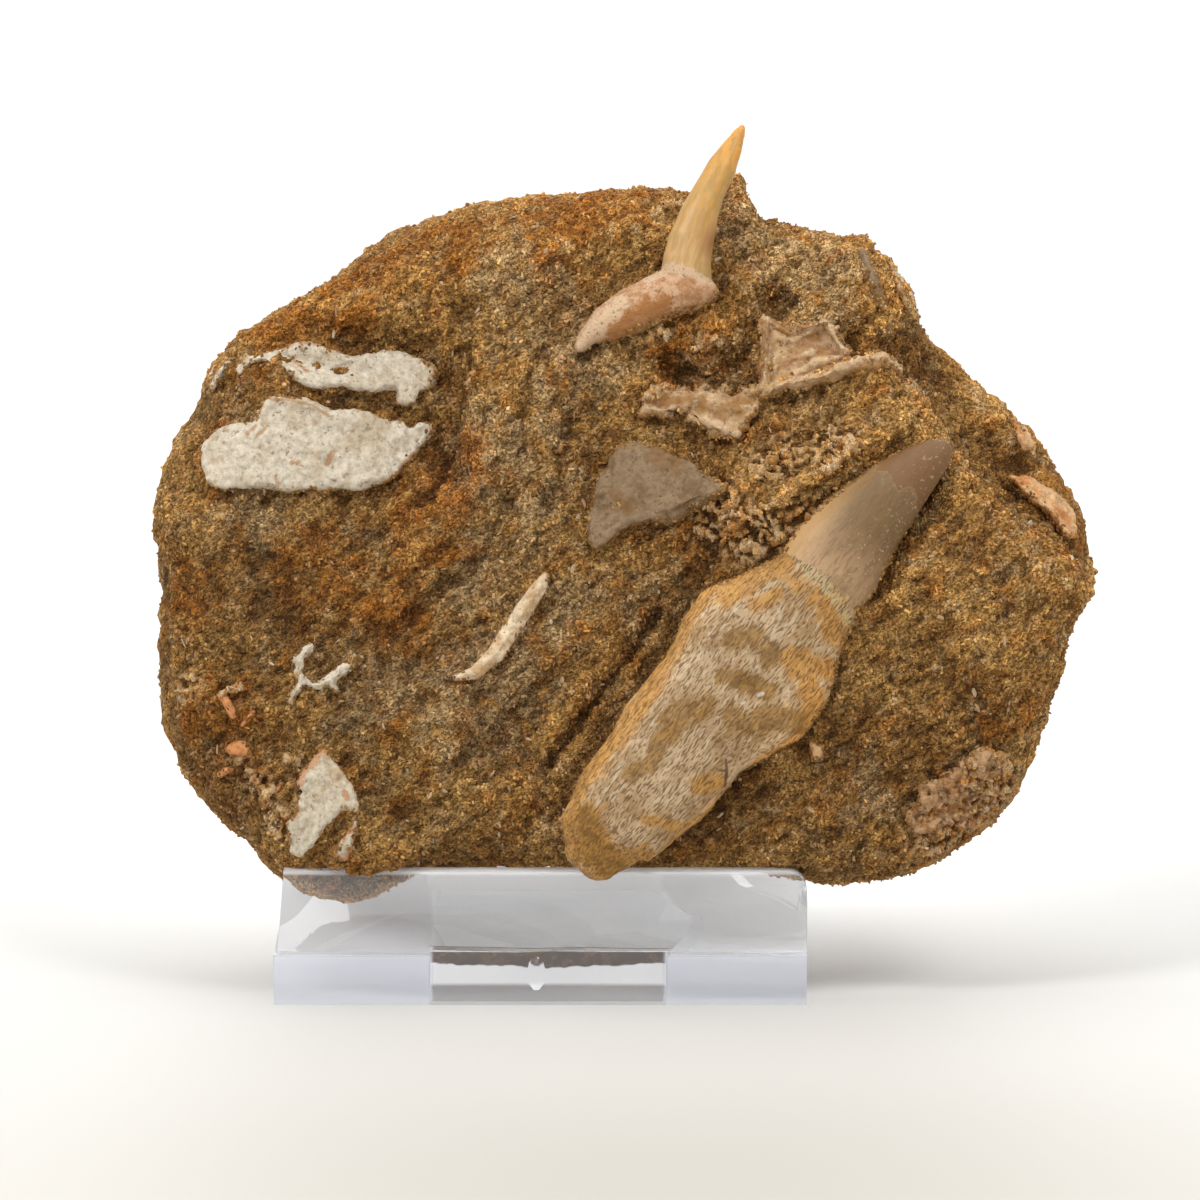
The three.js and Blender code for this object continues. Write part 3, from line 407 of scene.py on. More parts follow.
def enamel_colour(tree, own, along, across, torn, streaks, flecks):
    """The crown: taupe enamel, paler at its base, reddish beyond the old break near its tip; both its sides
    painted lighter as painted light.
    """
    color = between(tree, along, 28 * MM, 34 * MM, (178, 144, 108), (124, 97, 66))
    color = coated(tree, color, clouds(tree, own, 4.0, 3.0), 0.4, 0.65, 0.5, 132, 106, 72)
    color = coated(tree, color, streaks, 0.46, 0.62, 0.4, 98, 74, 50)
    before, after = (OLD_BREAK_AT - 0.25) * MM, (OLD_BREAK_AT + 0.25) * MM
    color = coated(tree, color, torn, before, after, 0.6, 118, 80, 48)
    from_break = off(tree, torn, OLD_BREAK_AT * MM)
    color = coated(tree, color, from_break, 0.16 * MM, 0.02 * MM, 0.4, 168, 132, 92)
    right_side = level(tree, across, -2.4 * MM, 1.0 * MM, 0.2, 1.0)
    color = over(tree, color, sums(tree, "MULTIPLY", flecks, right_side), 186, 164, 128)
    # painted light: both sides of the crown painted lighter where they round away from the light, the left
    # one with its golden tint
    color = coated(tree, color, across, 0.2 * MM, 3.0 * MM, 0.6, 188, 156, 118)
    color = coated(tree, color, across, -2.8 * MM, -5.4 * MM, 0.85, 208, 168, 116)
    from_rubbed = arrows(tree, "DISTANCE", own, (34.4 * MM, -1.6 * MM, 5 * MM))
    return coated(tree, color, from_rubbed, 3.0 * MM, 1.0 * MM, 0.35, 112, 88, 48)


def root_colour(tree, place, own, fibres, across, pores):
    """The root: short dark pores side by side, sunk between pale fibres, under its stains; its two sides
    painted lighter as painted light.
    """
    color = between(tree, clouds(tree, own, 3.0, 5.0, 0.65), 0.38, 0.62, (196, 170, 138), (168, 138, 102))
    coarse = clouds(tree, fibres, 0.45, 3.0, 0.6)
    color = coated(tree, color, coarse, 0.50, 0.64, 0.6, 214, 194, 168)
    patchy = clouds(tree, own, 0.8, 5.0, 0.7)
    gold = between(tree, patchy, 0.35, 0.65, (204, 152, 76), (166, 114, 48))
    color = mix(tree, stained(tree, fibres, "gold", 1.3, 0.8), color, gold)
    olive = between(tree, patchy, 0.35, 0.65, (166, 122, 54), (112, 80, 28))
    color = mix(tree, stained(tree, fibres, "olive", 1.1, 0.75), color, olive)
    color = over(tree, color, stained(tree, own, "green", 0.8, 0.7), 196, 178, 138)
    color = coated(tree, color, pores, 0.50, 0.38, 0.8, 112, 80, 48)
    # painted light: both sides of the root painted lighter where they face away from the light, its middle
    # a little darker
    color = toned(tree, level(tree, across, -9.0 * MM, 4.6 * MM), color, [
        (0.0, (1.3, 1.3, 1.25)), (0.2, (0.90, 0.89, 0.84)), (0.65, (0.90, 0.87, 0.79)),
        (0.85, (1.0, 0.97, 0.88)), (1.0, (1.4, 1.33, 1.18))])
    color = coated(tree, color, kept(tree, "white"), 0.6, 1.0, 0.8, 206, 196, 180)
    color = coated(tree, color, kept(tree, "cut"), 0.6, 1.0, 0.8, 84, 56, 30)
    return coated(tree, color, ragged_contact(tree, place), 1.2, 0.7, 0.7, 150, 104, 52)


def tooth_finish():
    """Taupe enamel on the crown; on the root, fibrous pinkish grey bone with ochre and olive stains."""
    finish, tree, place = new_finish("mosasaur tooth")
    own, (along, across, _) = turned(tree, place, TOOTH_END, TOOTH_AXES)
    fibres, _ = turned(tree, wandering(tree, place, 2.5, 0.45), TOOTH_END, TOOTH_AXES, (0.22, 1.0, 0.7))

    # the crown's border bows round its base
    ragged = level(tree, clouds(tree, own, 1.6, 4.0), 0.25, 0.75, -0.45 * MM, 0.45 * MM)
    bow = sums(tree, "MULTIPLY", sums(tree, "POWER", sums(tree, "ADD", across, 2.3 * MM), 2.0), 52.0)
    line = sums(tree, "ADD", along, bow, ragged)
    crown = level(tree, line, (CROWN_STARTS_AT - 0.12) * MM, (CROWN_STARTS_AT + 0.12) * MM)

    streaks = clouds(tree, fibres, 0.22, 4.0)
    flecks = level(tree, clouds(tree, own, 0.32, 3.0, 0.75), 0.58, 0.65)
    pores = clouds(tree, fibres, 0.13, 1.4, 0.5)
    enamel = enamel_colour(tree, own, along, across, leaning(tree, along, ragged, 1.6), streaks, flecks)
    bone = root_colour(tree, place, own, fibres, across, pores)
    normal = bump(tree, blend_of(tree, crown, pores, 0.5), 0.16, 0.8)
    normal = bump(tree, streaks, 0.05, 0.5, normal)
    normal = bump(tree, flecks, 0.05, 0.4, normal)
    color = mix(tree, crown, bone, enamel)
    show_opaque(tree, color, blend_of(tree, crown, 0.75, 0.48), 0.25, Normal=normal)
    return finish


def shark_finish():
    """Amber enamel, streaked along the crown; a pitted pink root with gold and pale stains."""
    finish, tree, place = new_finish("shark tooth")
    base = block_point(*SHARK_NECK)
    rise = (block_point(*SHARK_TIP) - base).normalized()
    axes = (rise, rise.cross(BLOCK_OUT).normalized(), BLOCK_OUT)
    own, (along, _, _) = turned(tree, place, base, axes)
    fibres, _ = turned(tree, place, base, axes, (0.15, 1.0, 1.0))
    ragged = level(tree, clouds(tree, place, 1.2), 0.3, 0.7, -0.25 * MM, 0.25 * MM)
    line = sums(tree, "ADD", along, ragged)

    crown = ramp_of(tree, sums(tree, "DIVIDE", along, SHARK_CROWN_LENGTH * MM), [
        (0.0, paint(196, 158, 104)), (0.3, paint(190, 146, 80)), (0.65, paint(198, 146, 66)),
        (1.0, paint(222, 156, 58))])
    crown = coated(tree, crown, clouds(tree, fibres, 0.45, 4.0), 0.47, 0.62, 0.55, 164, 124, 66)
    crown = coated(tree, crown, clouds(tree, place, 3.0, 3.0), 0.5, 0.62, 0.5, 164, 134, 74)
    from_stain = arrows(tree, "DISTANCE", own, (2.6 * MM, 1.5 * MM, 0))
    crown = coated(tree, crown, from_stain, 2.2 * MM, 0.4 * MM, 0.7, 140, 84, 42)

    root = between(tree, clouds(tree, place, 1.2, 5.0, 0.72), 0.40, 0.60, (218, 176, 138), (184, 132, 86))
    root = over(tree, root, stained(tree, place, "gold", 1.2), 178, 118, 60)
    root = over(tree, root, stained(tree, place, "pale", 1.0), 226, 194, 158)
    pores = clouds(tree, place, 0.26, 4.0, 0.7)
    root = coated(tree, root, pores, 0.44, 0.34, 0.8, 120, 88, 58)
    root = coated(tree, root, ragged_contact(tree, place), 1.3, 0.8, 0.8, 158, 108, 58)
    root = mix(tree, stained(tree, place, "sandy", 0.5), root, rock_colours(tree, place))

    share = level(tree, line, -0.1 * MM, 0.1 * MM)
    show_opaque(tree, mix(tree, share, root, crown), blend_of(tree, share, 0.75, 0.42), 0.5, **{
        "Subsurface Weight": 0.10, "Subsurface Radius": (1.0, 0.5, 0.2), "Subsurface Scale": 0.0010,
        "Normal": bump(tree, blend_of(tree, share, pores, 0.5), 0.30, 0.9)})
    return finish


# ---- the finish of old bone and shell ----

# each one's colours: its ground, worn patches, pits and stained rims; then how rough it is, the width
# of its grain in millimetres, how clean it stays, how pitted it is and how much sand fills it
BONES = {
    "chalky bone": ((208, 196, 176), (190, 173, 147), (128, 104, 76), (164, 114, 66), 0.85, 0.5, 0.46),
    "cream bone": ((224, 202, 170), (196, 162, 120), (136, 100, 64), (160, 112, 64), 0.6, 0.4, 0.46),
    "crumbling bone": ((204, 174, 138), (156, 114, 68), (104, 74, 44), (152, 104, 56), 0.75, 0.5, 0.37,
                       0.42, 0.45),
    "grey bone": ((142, 118, 90), (124, 99, 70), (86, 64, 40), (132, 96, 56), 0.8, 0.4, 0.48),
    "shell": ((212, 172, 124), (196, 128, 70), (116, 80, 48), (176, 112, 54), 0.55, 0.4, 0.46),
    "porous bone": ((186, 148, 110), (144, 104, 62), (70, 44, 22), (128, 92, 50), 0.8, 0.9, 0.46,
                    0.46, 0.75),
    "scale": ((200, 188, 166), (178, 156, 124), (132, 104, 74), (190, 118, 56), 0.6, 0.5, 0.5),
    "splinter": ((208, 142, 88), (188, 104, 50), (112, 70, 40), (150, 92, 44), 0.55, 0.4, 0.5),
}


def bone_finish(name, pale, worn, pit, rim, roughness, size, clean, pitted=0.41, sandy=0.0):
    """Old bone: a mottled ground, worn patches, freckles, small dark pits, sand and stained edges."""
    finish, tree, place = new_finish(name)
    share = level(tree, clouds(tree, place, 2.6, 5.0, 0.65), clean, clean + 0.16)
    share = sums(tree, "MULTIPLY", share, sums(tree, "SUBTRACT", 1.0, kept(tree, "spongy")))
    color = toned(tree, clouds(tree, moved(tree, place, 3, 1, 4), 0.5, 4.0, 0.7),
                  mix(tree, share, paint(*pale), paint(*worn)), [
        (0.30, (0.66, 0.62, 0.55)), (0.5, (1.0, 1.0, 1.0)), (0.70, (1.22, 1.22, 1.22))])
    freckles = clouds(tree, moved(tree, place, 6, 2, 1), 1.0, 3.0, 0.65)
    color = coated(tree, color, freckles, 0.62, 0.72, 0.55, *rim)
    color = over(tree, color, stained(tree, place, "marks", 0.6, 0.65), *rim)
    if sandy:
        filled = level(tree, clouds(tree, moved(tree, place, 2, 8, 3), 1.3, 4.0, 0.7), 0.44, 0.58, 0, sandy)
        color = mix(tree, filled, color, rock_colours(tree, place))
    grain = clouds(tree, place, size, 4.0, 0.65)
    color = coated(tree, color, grain, pitted, pitted - 0.08, 0.75, *pit)
    color = coated(tree, color, ragged_contact(tree, place), 1.30, 0.90, 0.8, *rim)
    fine = bump(tree, clouds(tree, place, 0.18, 3.0, 0.7), 0.07, 0.7)
    show_opaque(tree, color, roughness, 0.3, Normal=bump(tree, grain, 0.22, 0.8, fine))
    return finish


# ---- the stand's finish ----

HAZE = 0.04                 # how milky the clear plastic is everywhere
BASE_END_REFLECTION = 0.36            # and how much more so in the base's solid ends, a painted reflection of the bright light inside them
LIP_EDGE_HIGHLIGHT = 0.35        # and along the lip's top edge, a painted highlight where the rounded edge catches the light
WALL_WHITE_ABOVE = 1.05        # the window's front wall is painted grey below this height and white above it, as painted reflections
ROCK_REFLECTION_ABOVE = 2.5            # and has a painted brown reflection of the rock on it above this one
# how much of the window's front wall the painted grey and white bands cover, and how much the painted
# reflection of the rock covers
WALL_PAINT_SHARE, ROCK_REFLECTION_SHARE = 0.6, 0.88


def clear_finish():
    """Clear polystyrene: bends light, lets it through to what stands behind, a little cool in depth;
    painted reflections on the base's ends and the window's front wall, and a painted highlight along the
    lip's top edge.
    """
    finish, tree, place = new_finish("clear plastic")
    surface = put(tree, "ShaderNodeBsdfPrincipled", {
        "Base Color": (1, 1, 1, 1), "Roughness": 0.015, "IOR": 1.5, "Transmission Weight": 1.0})
    through = put(tree, "ShaderNodeBsdfTransparent", {"Color": (0.97, 0.98, 1.0, 1)})
    path = put(tree, "ShaderNodeLightPath")
    unlit = sums(tree, "MAXIMUM", path.outputs["Is Shadow Ray"], path.outputs["Is Diffuse Ray"])
    _, (aside, depth, up) = turned(tree, place, stand_point(WINDOW_CENTRE_X, 0, 0), Matrix.Identity(3))
    from_middle = sums(tree, "ABSOLUTE", aside)
    outer = level(tree, from_middle, (WINDOW_WIDTH / 2 - 0.3) * MM, (WINDOW_WIDTH / 2 + 0.3) * MM)
    low = level(tree, up, (BASE_HEIGHT + 0.2) * MM, (BASE_HEIGHT - 0.2) * MM)
    haze_and_painted_light = sums(tree, "ADD", sums(tree, "MULTIPLY", outer, low, BASE_END_REFLECTION), HAZE,
                level(tree, up, (LIP_TOP - 0.35) * MM, (LIP_TOP - 0.1) * MM, 0, LIP_EDGE_HIGHLIGHT))

    # the window's front wall: painted reflections across its middle, grey low down and white higher, with a
    # painted brown reflection of the rock along its top
    wall = level(tree, off(tree, depth, WINDOW_FRONT * MM), 0.3 * MM, 0.1 * MM)
    wall = sums(tree, "MULTIPLY", wall, sums(tree, "SUBTRACT", 1.0, outer))
    ragged = level(tree, clouds(tree, place, 1.0), 0.3, 0.7, 0, 0.15 * MM)
    sagging = sums(tree, "ADD", leaning(tree, up, from_middle, -0.045), ragged)
    rock_reflected = level(tree, sagging, ROCK_REFLECTION_ABOVE * MM, (ROCK_REFLECTION_ABOVE + 0.15) * MM)
    rock_reflection = between(tree, clouds(tree, place, 0.8), 0.4, 0.6, (84, 58, 34), (54, 36, 20))
    painted_bands = between(tree, up, WALL_WHITE_ABOVE * MM, (WALL_WHITE_ABOVE + 0.4) * MM,
                   (128, 124, 120), (255, 255, 255))
    painted_bands = mix(tree, rock_reflected, painted_bands, rock_reflection)
    haze_and_painted_light = blend_of(tree, wall, haze_and_painted_light, blend_of(tree, rock_reflected, WALL_PAINT_SHARE, ROCK_REFLECTION_SHARE))

    # white above the base, lavender in it: with the base's extra milky share this paints the bluish
    # reflection inside its ends
    lavender_in_base = mix(tree, low, (1, 1, 1, 1), (0.84, 0.88, 1.0, 1))
    diffuse_layer = put(tree, "ShaderNodeBsdfDiffuse", {"Color": mix(tree, wall, lavender_in_base, painted_bands)})
    glass_and_diffuse = put(tree, "ShaderNodeMixShader", {0: haze_and_painted_light, 1: surface.outputs[0], 2: diffuse_layer.outputs[0]})
    both = put(tree, "ShaderNodeMixShader", {0: unlit, 1: glass_and_diffuse.outputs[0], 2: through.outputs[0]})
    tint = put(tree, "ShaderNodeVolumeAbsorption", {"Color": (0.80, 0.85, 1.0, 1), "Density": 5.0})
    show(tree, both, tint)
    return finish


# ---- the camera and the room ----

CAMERA_PITCH = math.radians(8.6)
CAMERA_SET = (0.0, -593.1, 121.2)
LENS = 235.8
MIDDLE = (0, 0, 0.035)
# each lamp's name, place, aim, size and power, and how wide its light spreads if not all round
LAMPS = [
    ("ceiling", (0, 0.10, 0.60), (0, 0.05, 0), (0.5, 0.5), 1.4),
    ("left key", (-0.30, -0.30, 0.45), MIDDLE, (0.14, 0.14), 1.45),
    ("right key", (0.25, -0.30, 0.50), MIDDLE, (0.2, 0.2), 1.1),
    ("front", (0, -0.70, 0.35), MIDDLE, (0.5, 0.4), 0.9),
    ("back", (0, 0.75, 0.45), (0, 0.12, 0), (0.8, 0.3), 1.9),
    ("behind", (-0.004, 0.15, 0.12), (-0.004, 0.065, 0), (0.04, 0.02), 0.014, math.radians(35)),
    ("left side", (-0.6, 0.1, 0.3), MIDDLE, (0.4, 0.4), 0.35),
    ("right side", (0.6, 0.1, 0.3), MIDDLE, (0.4, 0.4), 0.2),
]


def new_object(name, data):
    made = bpy.data.objects.new(name, data)
    bpy.context.scene.collection.objects.link(made)
    return made


def set_camera():
    camera = new_object("camera", bpy.data.cameras.new("camera"))
    camera.location = stand_point(*CAMERA_SET)
    camera.rotation_euler = (math.radians(90) - CAMERA_PITCH, 0, 0)
    camera.data.lens = LENS
    camera.data.sensor_width = 36
    camera.data.clip_start = 0.01
    camera.data.clip_end = 20
    bpy.context.scene.camera = camera


def add_lamp(name, place, aim, size, power, spread=math.pi):
    lamp = bpy.data.lights.new(name, "AREA")
    lamp.shape = "RECTANGLE"
    lamp.size, lamp.size_y = size
    lamp.energy = power
    lamp.spread = spread
    holder = new_object(name, lamp)
    holder.location = place
    holder.rotation_euler = (Vector(aim) - Vector(place)).to_track_quat("-Z", "Y").to_euler()


def floor_finish():
    """A pale matt tabletop, greyer towards the front as painted shade and white further back as painted
    light, with a painted shadow in the middle of the front.
    """
    finish, tree, place = new_finish("pale tabletop")
    behind = put(tree, "ShaderNodeSeparateXYZ", {0: place}).outputs[1]
    # painted shade towards the front and painted light further back, for how the lamps fall on the floor
    color = between(tree, behind, -0.10, 0.09, (214, 211, 204), (238, 238, 236))
    color = mix(tree, level(tree, behind, 0.10, 0.25), color, (1, 1, 1, 1))
    # a painted shadow in the middle of the front
    near = arrows(tree, "DISTANCE", place, stand_point(8, -75, 0))
    color = coated(tree, color, near, 0.065, 0.005, 0.5, 190, 185, 172)
    show_opaque(tree, color, 0.6, 0.2)
    return finish


def set_room():
    """A white room: full white behind everything, softer where it lights the object."""
    world = bpy.data.worlds.new("white room")
    world.use_nodes = True
    tree = world.node_tree
    backdrop = tree.nodes["Background"]
    backdrop.inputs["Color"].default_value = (1, 1, 1, 1)
    backdrop.inputs["Strength"].default_value = 1.05
    glow = put(tree, "ShaderNodeBackground", {"Color": (1, 1, 1, 1), "Strength": 0.33})
    path = put(tree, "ShaderNodeLightPath")
    choice = put(tree, "ShaderNodeMixShader", {
        0: path.outputs["Is Diffuse Ray"], 1: backdrop.outputs[0], 2: glow.outputs[0]})
    tree.links.new(choice.outputs[0], tree.nodes["World Output"].inputs["Surface"])
    bpy.context.scene.world = world
    for lamp in LAMPS:
        add_lamp(*lamp)

    bpy.ops.mesh.primitive_circle_add(vertices=96, radius=0.42, fill_type="NGON")
    floor = bpy.context.object
    floor.name = "floor"
    floor.data.materials.append(floor_finish())


# ---- making pieces ----

def only(*objects):
    """Selects these objects alone; the first one is the one worked on."""
    bpy.ops.object.select_all(action="DESELECT")
    for obj in objects:
        obj.select_set(True)
    bpy.context.view_layer.objects.active = objects[0]


def use(obj, kind, **settings):
    """Adds a modifier, sets it and applies it."""
    modifier = obj.modifiers.new(kind.lower(), kind)
    for key, value in settings.items():
        setattr(modifier, key, value)
    only(obj)
    bpy.ops.object.modifier_apply(modifier=modifier.name)


def copy_of(node, name):
    """A copy of a CAD node's solid, its loose triangles joined."""
    piece = new_object(name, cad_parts[node].data.copy())
    piece.data.materials.clear()
    only(piece)
    bpy.ops.object.mode_set(mode="EDIT")
    bpy.ops.mesh.select_all(action="SELECT")
    bpy.ops.mesh.remove_doubles(threshold=0.00001)
    bpy.ops.mesh.normals_make_consistent(inside=False)
    bpy.ops.object.mode_set(mode="OBJECT")
    return piece


def remesh(piece, voxel, rounds=0):
    """Makes the surface anew from small even faces, and softens its edges by rounds of smoothing."""
    use(piece, "REMESH", mode="VOXEL", voxel_size=voxel * MM)
    if rounds:
        use(piece, "SMOOTH", factor=0.5, iterations=rounds)


def roughen(piece, size, depth, middle=0.5, group=""):
    """Pushes the surface in and out by clouds of the given width and depth, in millimetres."""
    texture = bpy.data.textures.new(f"{piece.name} {size}", "CLOUDS")
    texture.noise_scale = size * MM
    use(piece, "DISPLACE", texture=texture, texture_coords="LOCAL", strength=depth * MM,
        mid_level=middle, vertex_group=group)


def new_shaping(name):
    """An empty tree of shaping nodes and the socket that its mesh comes in by."""
    tree = bpy.data.node_groups.new(name, "GeometryNodeTree")
    tree.interface.new_socket("Geometry", in_out="INPUT", socket_type="NodeSocketGeometry")
    tree.interface.new_socket("Geometry", in_out="OUTPUT", socket_type="NodeSocketGeometry")
    return tree, put(tree, "NodeGroupInput").outputs[0]


def shape_with(piece, tree, result):
    """Ends the tree with the given result and applies it to the piece."""
    put(tree, "NodeGroupOutput", {0: result})
    use(piece, "NODES", node_group=tree)


def point_place(tree):
    return put(tree, "GeometryNodeInputPosition").outputs[0]


def point_normal(tree):
    return put(tree, "GeometryNodeInputNormal").outputs[0]


def noted(tree, name):
    """A value that the mesh keeps, read while it is shaped."""
    return put(tree, "GeometryNodeInputNamedAttribute", {"Name": name}, data_type="FLOAT").outputs[0]


def note(tree, mesh, name, value, domain="POINT"):
    """The mesh, keeping a value under a name."""
    return put(tree, "GeometryNodeStoreNamedAttribute", {
        "Geometry": mesh, "Name": name, "Value": value}, data_type="FLOAT", domain=domain).outputs[0]


def finish_piece(piece, finish, slot, *nodes, smooth=True):
    """Gives a piece its finish and its place in the frame, and puts it in the nodes' stead."""
    piece.data.materials.clear()
    piece.data.materials.append(finish)
    only(piece)
    if smooth:
        bpy.ops.object.shade_smooth()
    else:
        bpy.ops.object.shade_flat()
    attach(piece, "root")
    if nodes:
        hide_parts(*nodes)
    return piece


def points_of(piece):
    """The places of all the piece's points, one row each."""
    places = numpy.empty(len(piece.data.vertices) * 3)
    piece.data.vertices.foreach_get("co", places)
    return places.reshape(-1, 3)


def measured(piece, origin, axes):
    """How far each of the piece's points lies along each axis from the origin, in millimetres."""
    offset = (points_of(piece) - numpy.array(origin)) / MM
    return [offset @ numpy.array(axis) for axis in axes]


def raise_points(piece, rise):
    """Moves each of the piece's points out of the block's face, by so many millimetres."""
    places = points_of(piece) + numpy.outer(rise * MM, numpy.array(BLOCK_OUT))
    piece.data.vertices.foreach_set("co", places.ravel())
    piece.data.update()


def keep_values(piece, name, values):
    """Keeps one value at each of the piece's points."""
    attribute = piece.data.attributes.new(name, "FLOAT", "POINT")
    attribute.data.foreach_set("value", values.astype(numpy.float32))


def line_reach(line, u, v):
    """Distance of points from a line of straight stretches, negative left of it."""
    best = numpy.full(len(u), 1e9)
    for (u0, v0), (u1, v1) in zip(line, line[1:]):
        du, dv = u1 - u0, v1 - v0
        share = numpy.clip(((u - u0) * du + (v - v0) * dv) / (du * du + dv * dv), 0, 1)
        reach = numpy.hypot(u - u0 - share * du, v - v0 - share * dv)
        left = du * (v - v0) - dv * (u - u0) > 0
        best = numpy.where(reach < numpy.abs(best), numpy.where(left, -reach, reach), best)
    return best


def pick_faces(piece, test):
    """Selects the faces whose middle passes the test."""
    only(piece)
    bpy.ops.object.mode_set(mode="EDIT")
    bpy.ops.mesh.select_mode(type="FACE")
    bpy.ops.mesh.select_all(action="DESELECT")
    bpy.ops.object.mode_set(mode="OBJECT")
    chosen = [test(polygon.center) for polygon in piece.data.polygons]
    piece.data.polygons.foreach_set("select", chosen)
    bpy.ops.object.mode_set(mode="EDIT")


# ---- the rock ----

# sharp steps in the face: the line along each edge, how far the ground beyond it drops, and the
# width over which it comes up again; what drops lies left of the line as one walks along it
STEPS = [
    ([(16.9, 38.4), (21.3, 39.9), (23.8, 37.6), (26.4, 34.1), (28.7, 31.0), (31.4, 27.9), (35.2, 24.8),
      (38.5, 22.8)], 1.5, 3.5),
    ([(-15.5, 27.2), (-12.6, 29.0), (-11.0, 31.8), (-10.2, 34.5), (-9.9, 38.5)], 1.2, 3.0),
    ([(5.2, 17.5), (9.2, 24.0), (9.9, 28.2), (11.2, 32.6)], 0.7, 3.0),
]
# narrow trenches and low ridges: line, half width, height
TRENCHES = [
    ([(20.6, 21.2), (23.0, 26.4), (25.6, 30.2)], 0.55, -0.9),
    ([(-3.9, 8.6), (-0.9, 13.2), (2.1, 17.0), (4.2, 20.2)], 0.5, -1.3),
    ([(9.2, 25.8), (13.8, 28.8), (19.4, 32.4), (22.6, 33.9)], 0.5, 0.7),
    ([(22.6, 20.6), (24.4, 24.6), (27.6, 28.8)], 0.5, 0.5),
    ([(-8.6, 33.5), (-9.6, 30.0), (-12.0, 27.0), (-15.4, 24.6)], 0.9, 0.5),
    ([(-3.0, 44.5), (-5.5, 38.0), (-6.2, 31.0), (-9.0, 25.0), (-14.5, 20.0)], 0.8, -0.5),
    ([(0.5, 43.5), (-2.2, 37.0), (-3.2, 30.5), (-5.0, 25.8)], 0.7, -0.4),
]
# thin raised edges of crushed bone: line, half width, height
BONE_RIDGES = [
    ([(3.5, 36.9), (5.2, 37.5), (7.7, 37.6), (9.8, 37.4), (12.3, 37.3)], 0.35, 0.7),
    ([(3.5, 36.1), (5.0, 35.7), (7.3, 36.4)], 0.30, 0.6),
    ([(7.1, 35.4), (8.6, 34.5), (10.6, 33.8)], 0.35, 0.6),
    ([(12.7, 42.8), (12.9, 41.0), (12.9, 39.0), (12.7, 37.5)], 0.35, 0.7),
    ([(13.1, 42.1), (14.2, 41.2), (15.4, 41.5), (17.4, 42.8)], 0.30, 0.5),
    ([(17.4, 42.8), (18.2, 41.5), (19.2, 39.8)], 0.40, 0.7),
    ([(12.9, 37.5), (15.0, 37.8), (16.9, 38.2), (18.5, 38.9), (19.9, 39.7), (21.9, 40.0), (23.5, 38.7),
      (25.0, 36.7)], 0.40, 0.8),
    ([(13.2, 38.9), (14.6, 39.8), (16.3, 40.4)], 0.30, 0.5),
    ([(14.6, 38.2), (16.3, 39.4), (18.3, 39.9)], 0.30, 0.5),
    ([(14.2, 32.9), (14.3, 31.3)], 0.25, 0.5),
    ([(13.7, 33.2), (13.3, 31.5)], 0.25, 0.5),
    ([(17.1, 34.2), (18.1, 33.3), (19.1, 32.7), (18.3, 31.3), (17.2, 30.8)], 0.30, 0.6),
    ([(7.1, 28.9), (8.8, 28.0), (11.1, 27.4), (12.6, 26.0)], 0.30, 0.5),
    ([(13.1, 25.8), (15.4, 26.6), (17.0, 28.0)], 0.30, 0.5),
    ([(7.7, 26.6), (10.0, 25.5), (12.3, 24.9)], 0.25, 0.4),
    ([(4.1, 51.3), (5.2, 51.9), (6.4, 52.3)], 0.25, 0.4),
    ([(3.7, 41.5), (4.5, 42.0), (5.2, 41.7)], 0.22, 0.4),
    ([(7.5, 40.7), (8.3, 41.5), (9.2, 41.4)], 0.22, 0.4),
    ([(28.7, 8.6), (29.5, 9.4), (30.7, 9.2), (31.1, 8.4)], 0.35, 0.8),
    ([(24.6, 6.9), (25.8, 6.9), (26.8, 6.6)], 0.30, 0.5),
    ([(-29.5, 13.7), (-28.7, 14.1), (-27.7, 14.7)], 0.22, 0.5),
    ([(-22.9, 9.6), (-23.0, 8.7), (-23.2, 8.0)], 0.18, 0.5),
    ([(-27.6, 8.9), (-26.6, 7.7), (-25.9, 6.6), (-25.2, 5.4), (-25.1, 4.8)], 0.28, 0.6),
    ([(-25.6, 4.5), (-24.8, 3.6), (-23.9, 2.7)], 0.28, 0.5),
    ([(-25.9, 6.2), (-25.0, 7.0)], 0.22, 0.5),
]

BED_VOXEL = 0.35            # the size of the faces that a bed is made anew from
ROCK_VOXEL = 0.57
STEP_EDGE = 0.4             # how wide the edge of a step in the face is
STEP_ENDS = 2.5             # a step fades out this far from the ends of its line
# how far back, along w, each sort of relief begins, and over what depth it grows to its full height
CARVING_BEGINS = (-8, 3)
CRUSHED_BONE_BEGINS = (-6, 2)


def bed_of(node, sink, shrink=0.0, ragged=0.0):
    """A fossil's solid sunk into the face, to fill its pocket with rock that clings to its edges."""
    bed = copy_of(node, f"{node} bed")
    bed.data.transform(Matrix.Translation(-sink * MM * BLOCK_OUT))
    if shrink:
        use(bed, "DISPLACE", strength=-shrink * MM, mid_level=0.0)
    if ragged:
        remesh(bed, BED_VOXEL)
        roughen(bed, 1.1, ragged, middle=0.3)
    return bed


def eased(values, start, width):
    """0 below the start, and from there up to 1 over the width."""
    return numpy.clip((values - start) / width, 0, 1)


def near_line(line, half_width, u, v):
    """1 on the line, falling off softly to both sides."""
    return numpy.exp(-(line_reach(line, u, v) / half_width) ** 2)


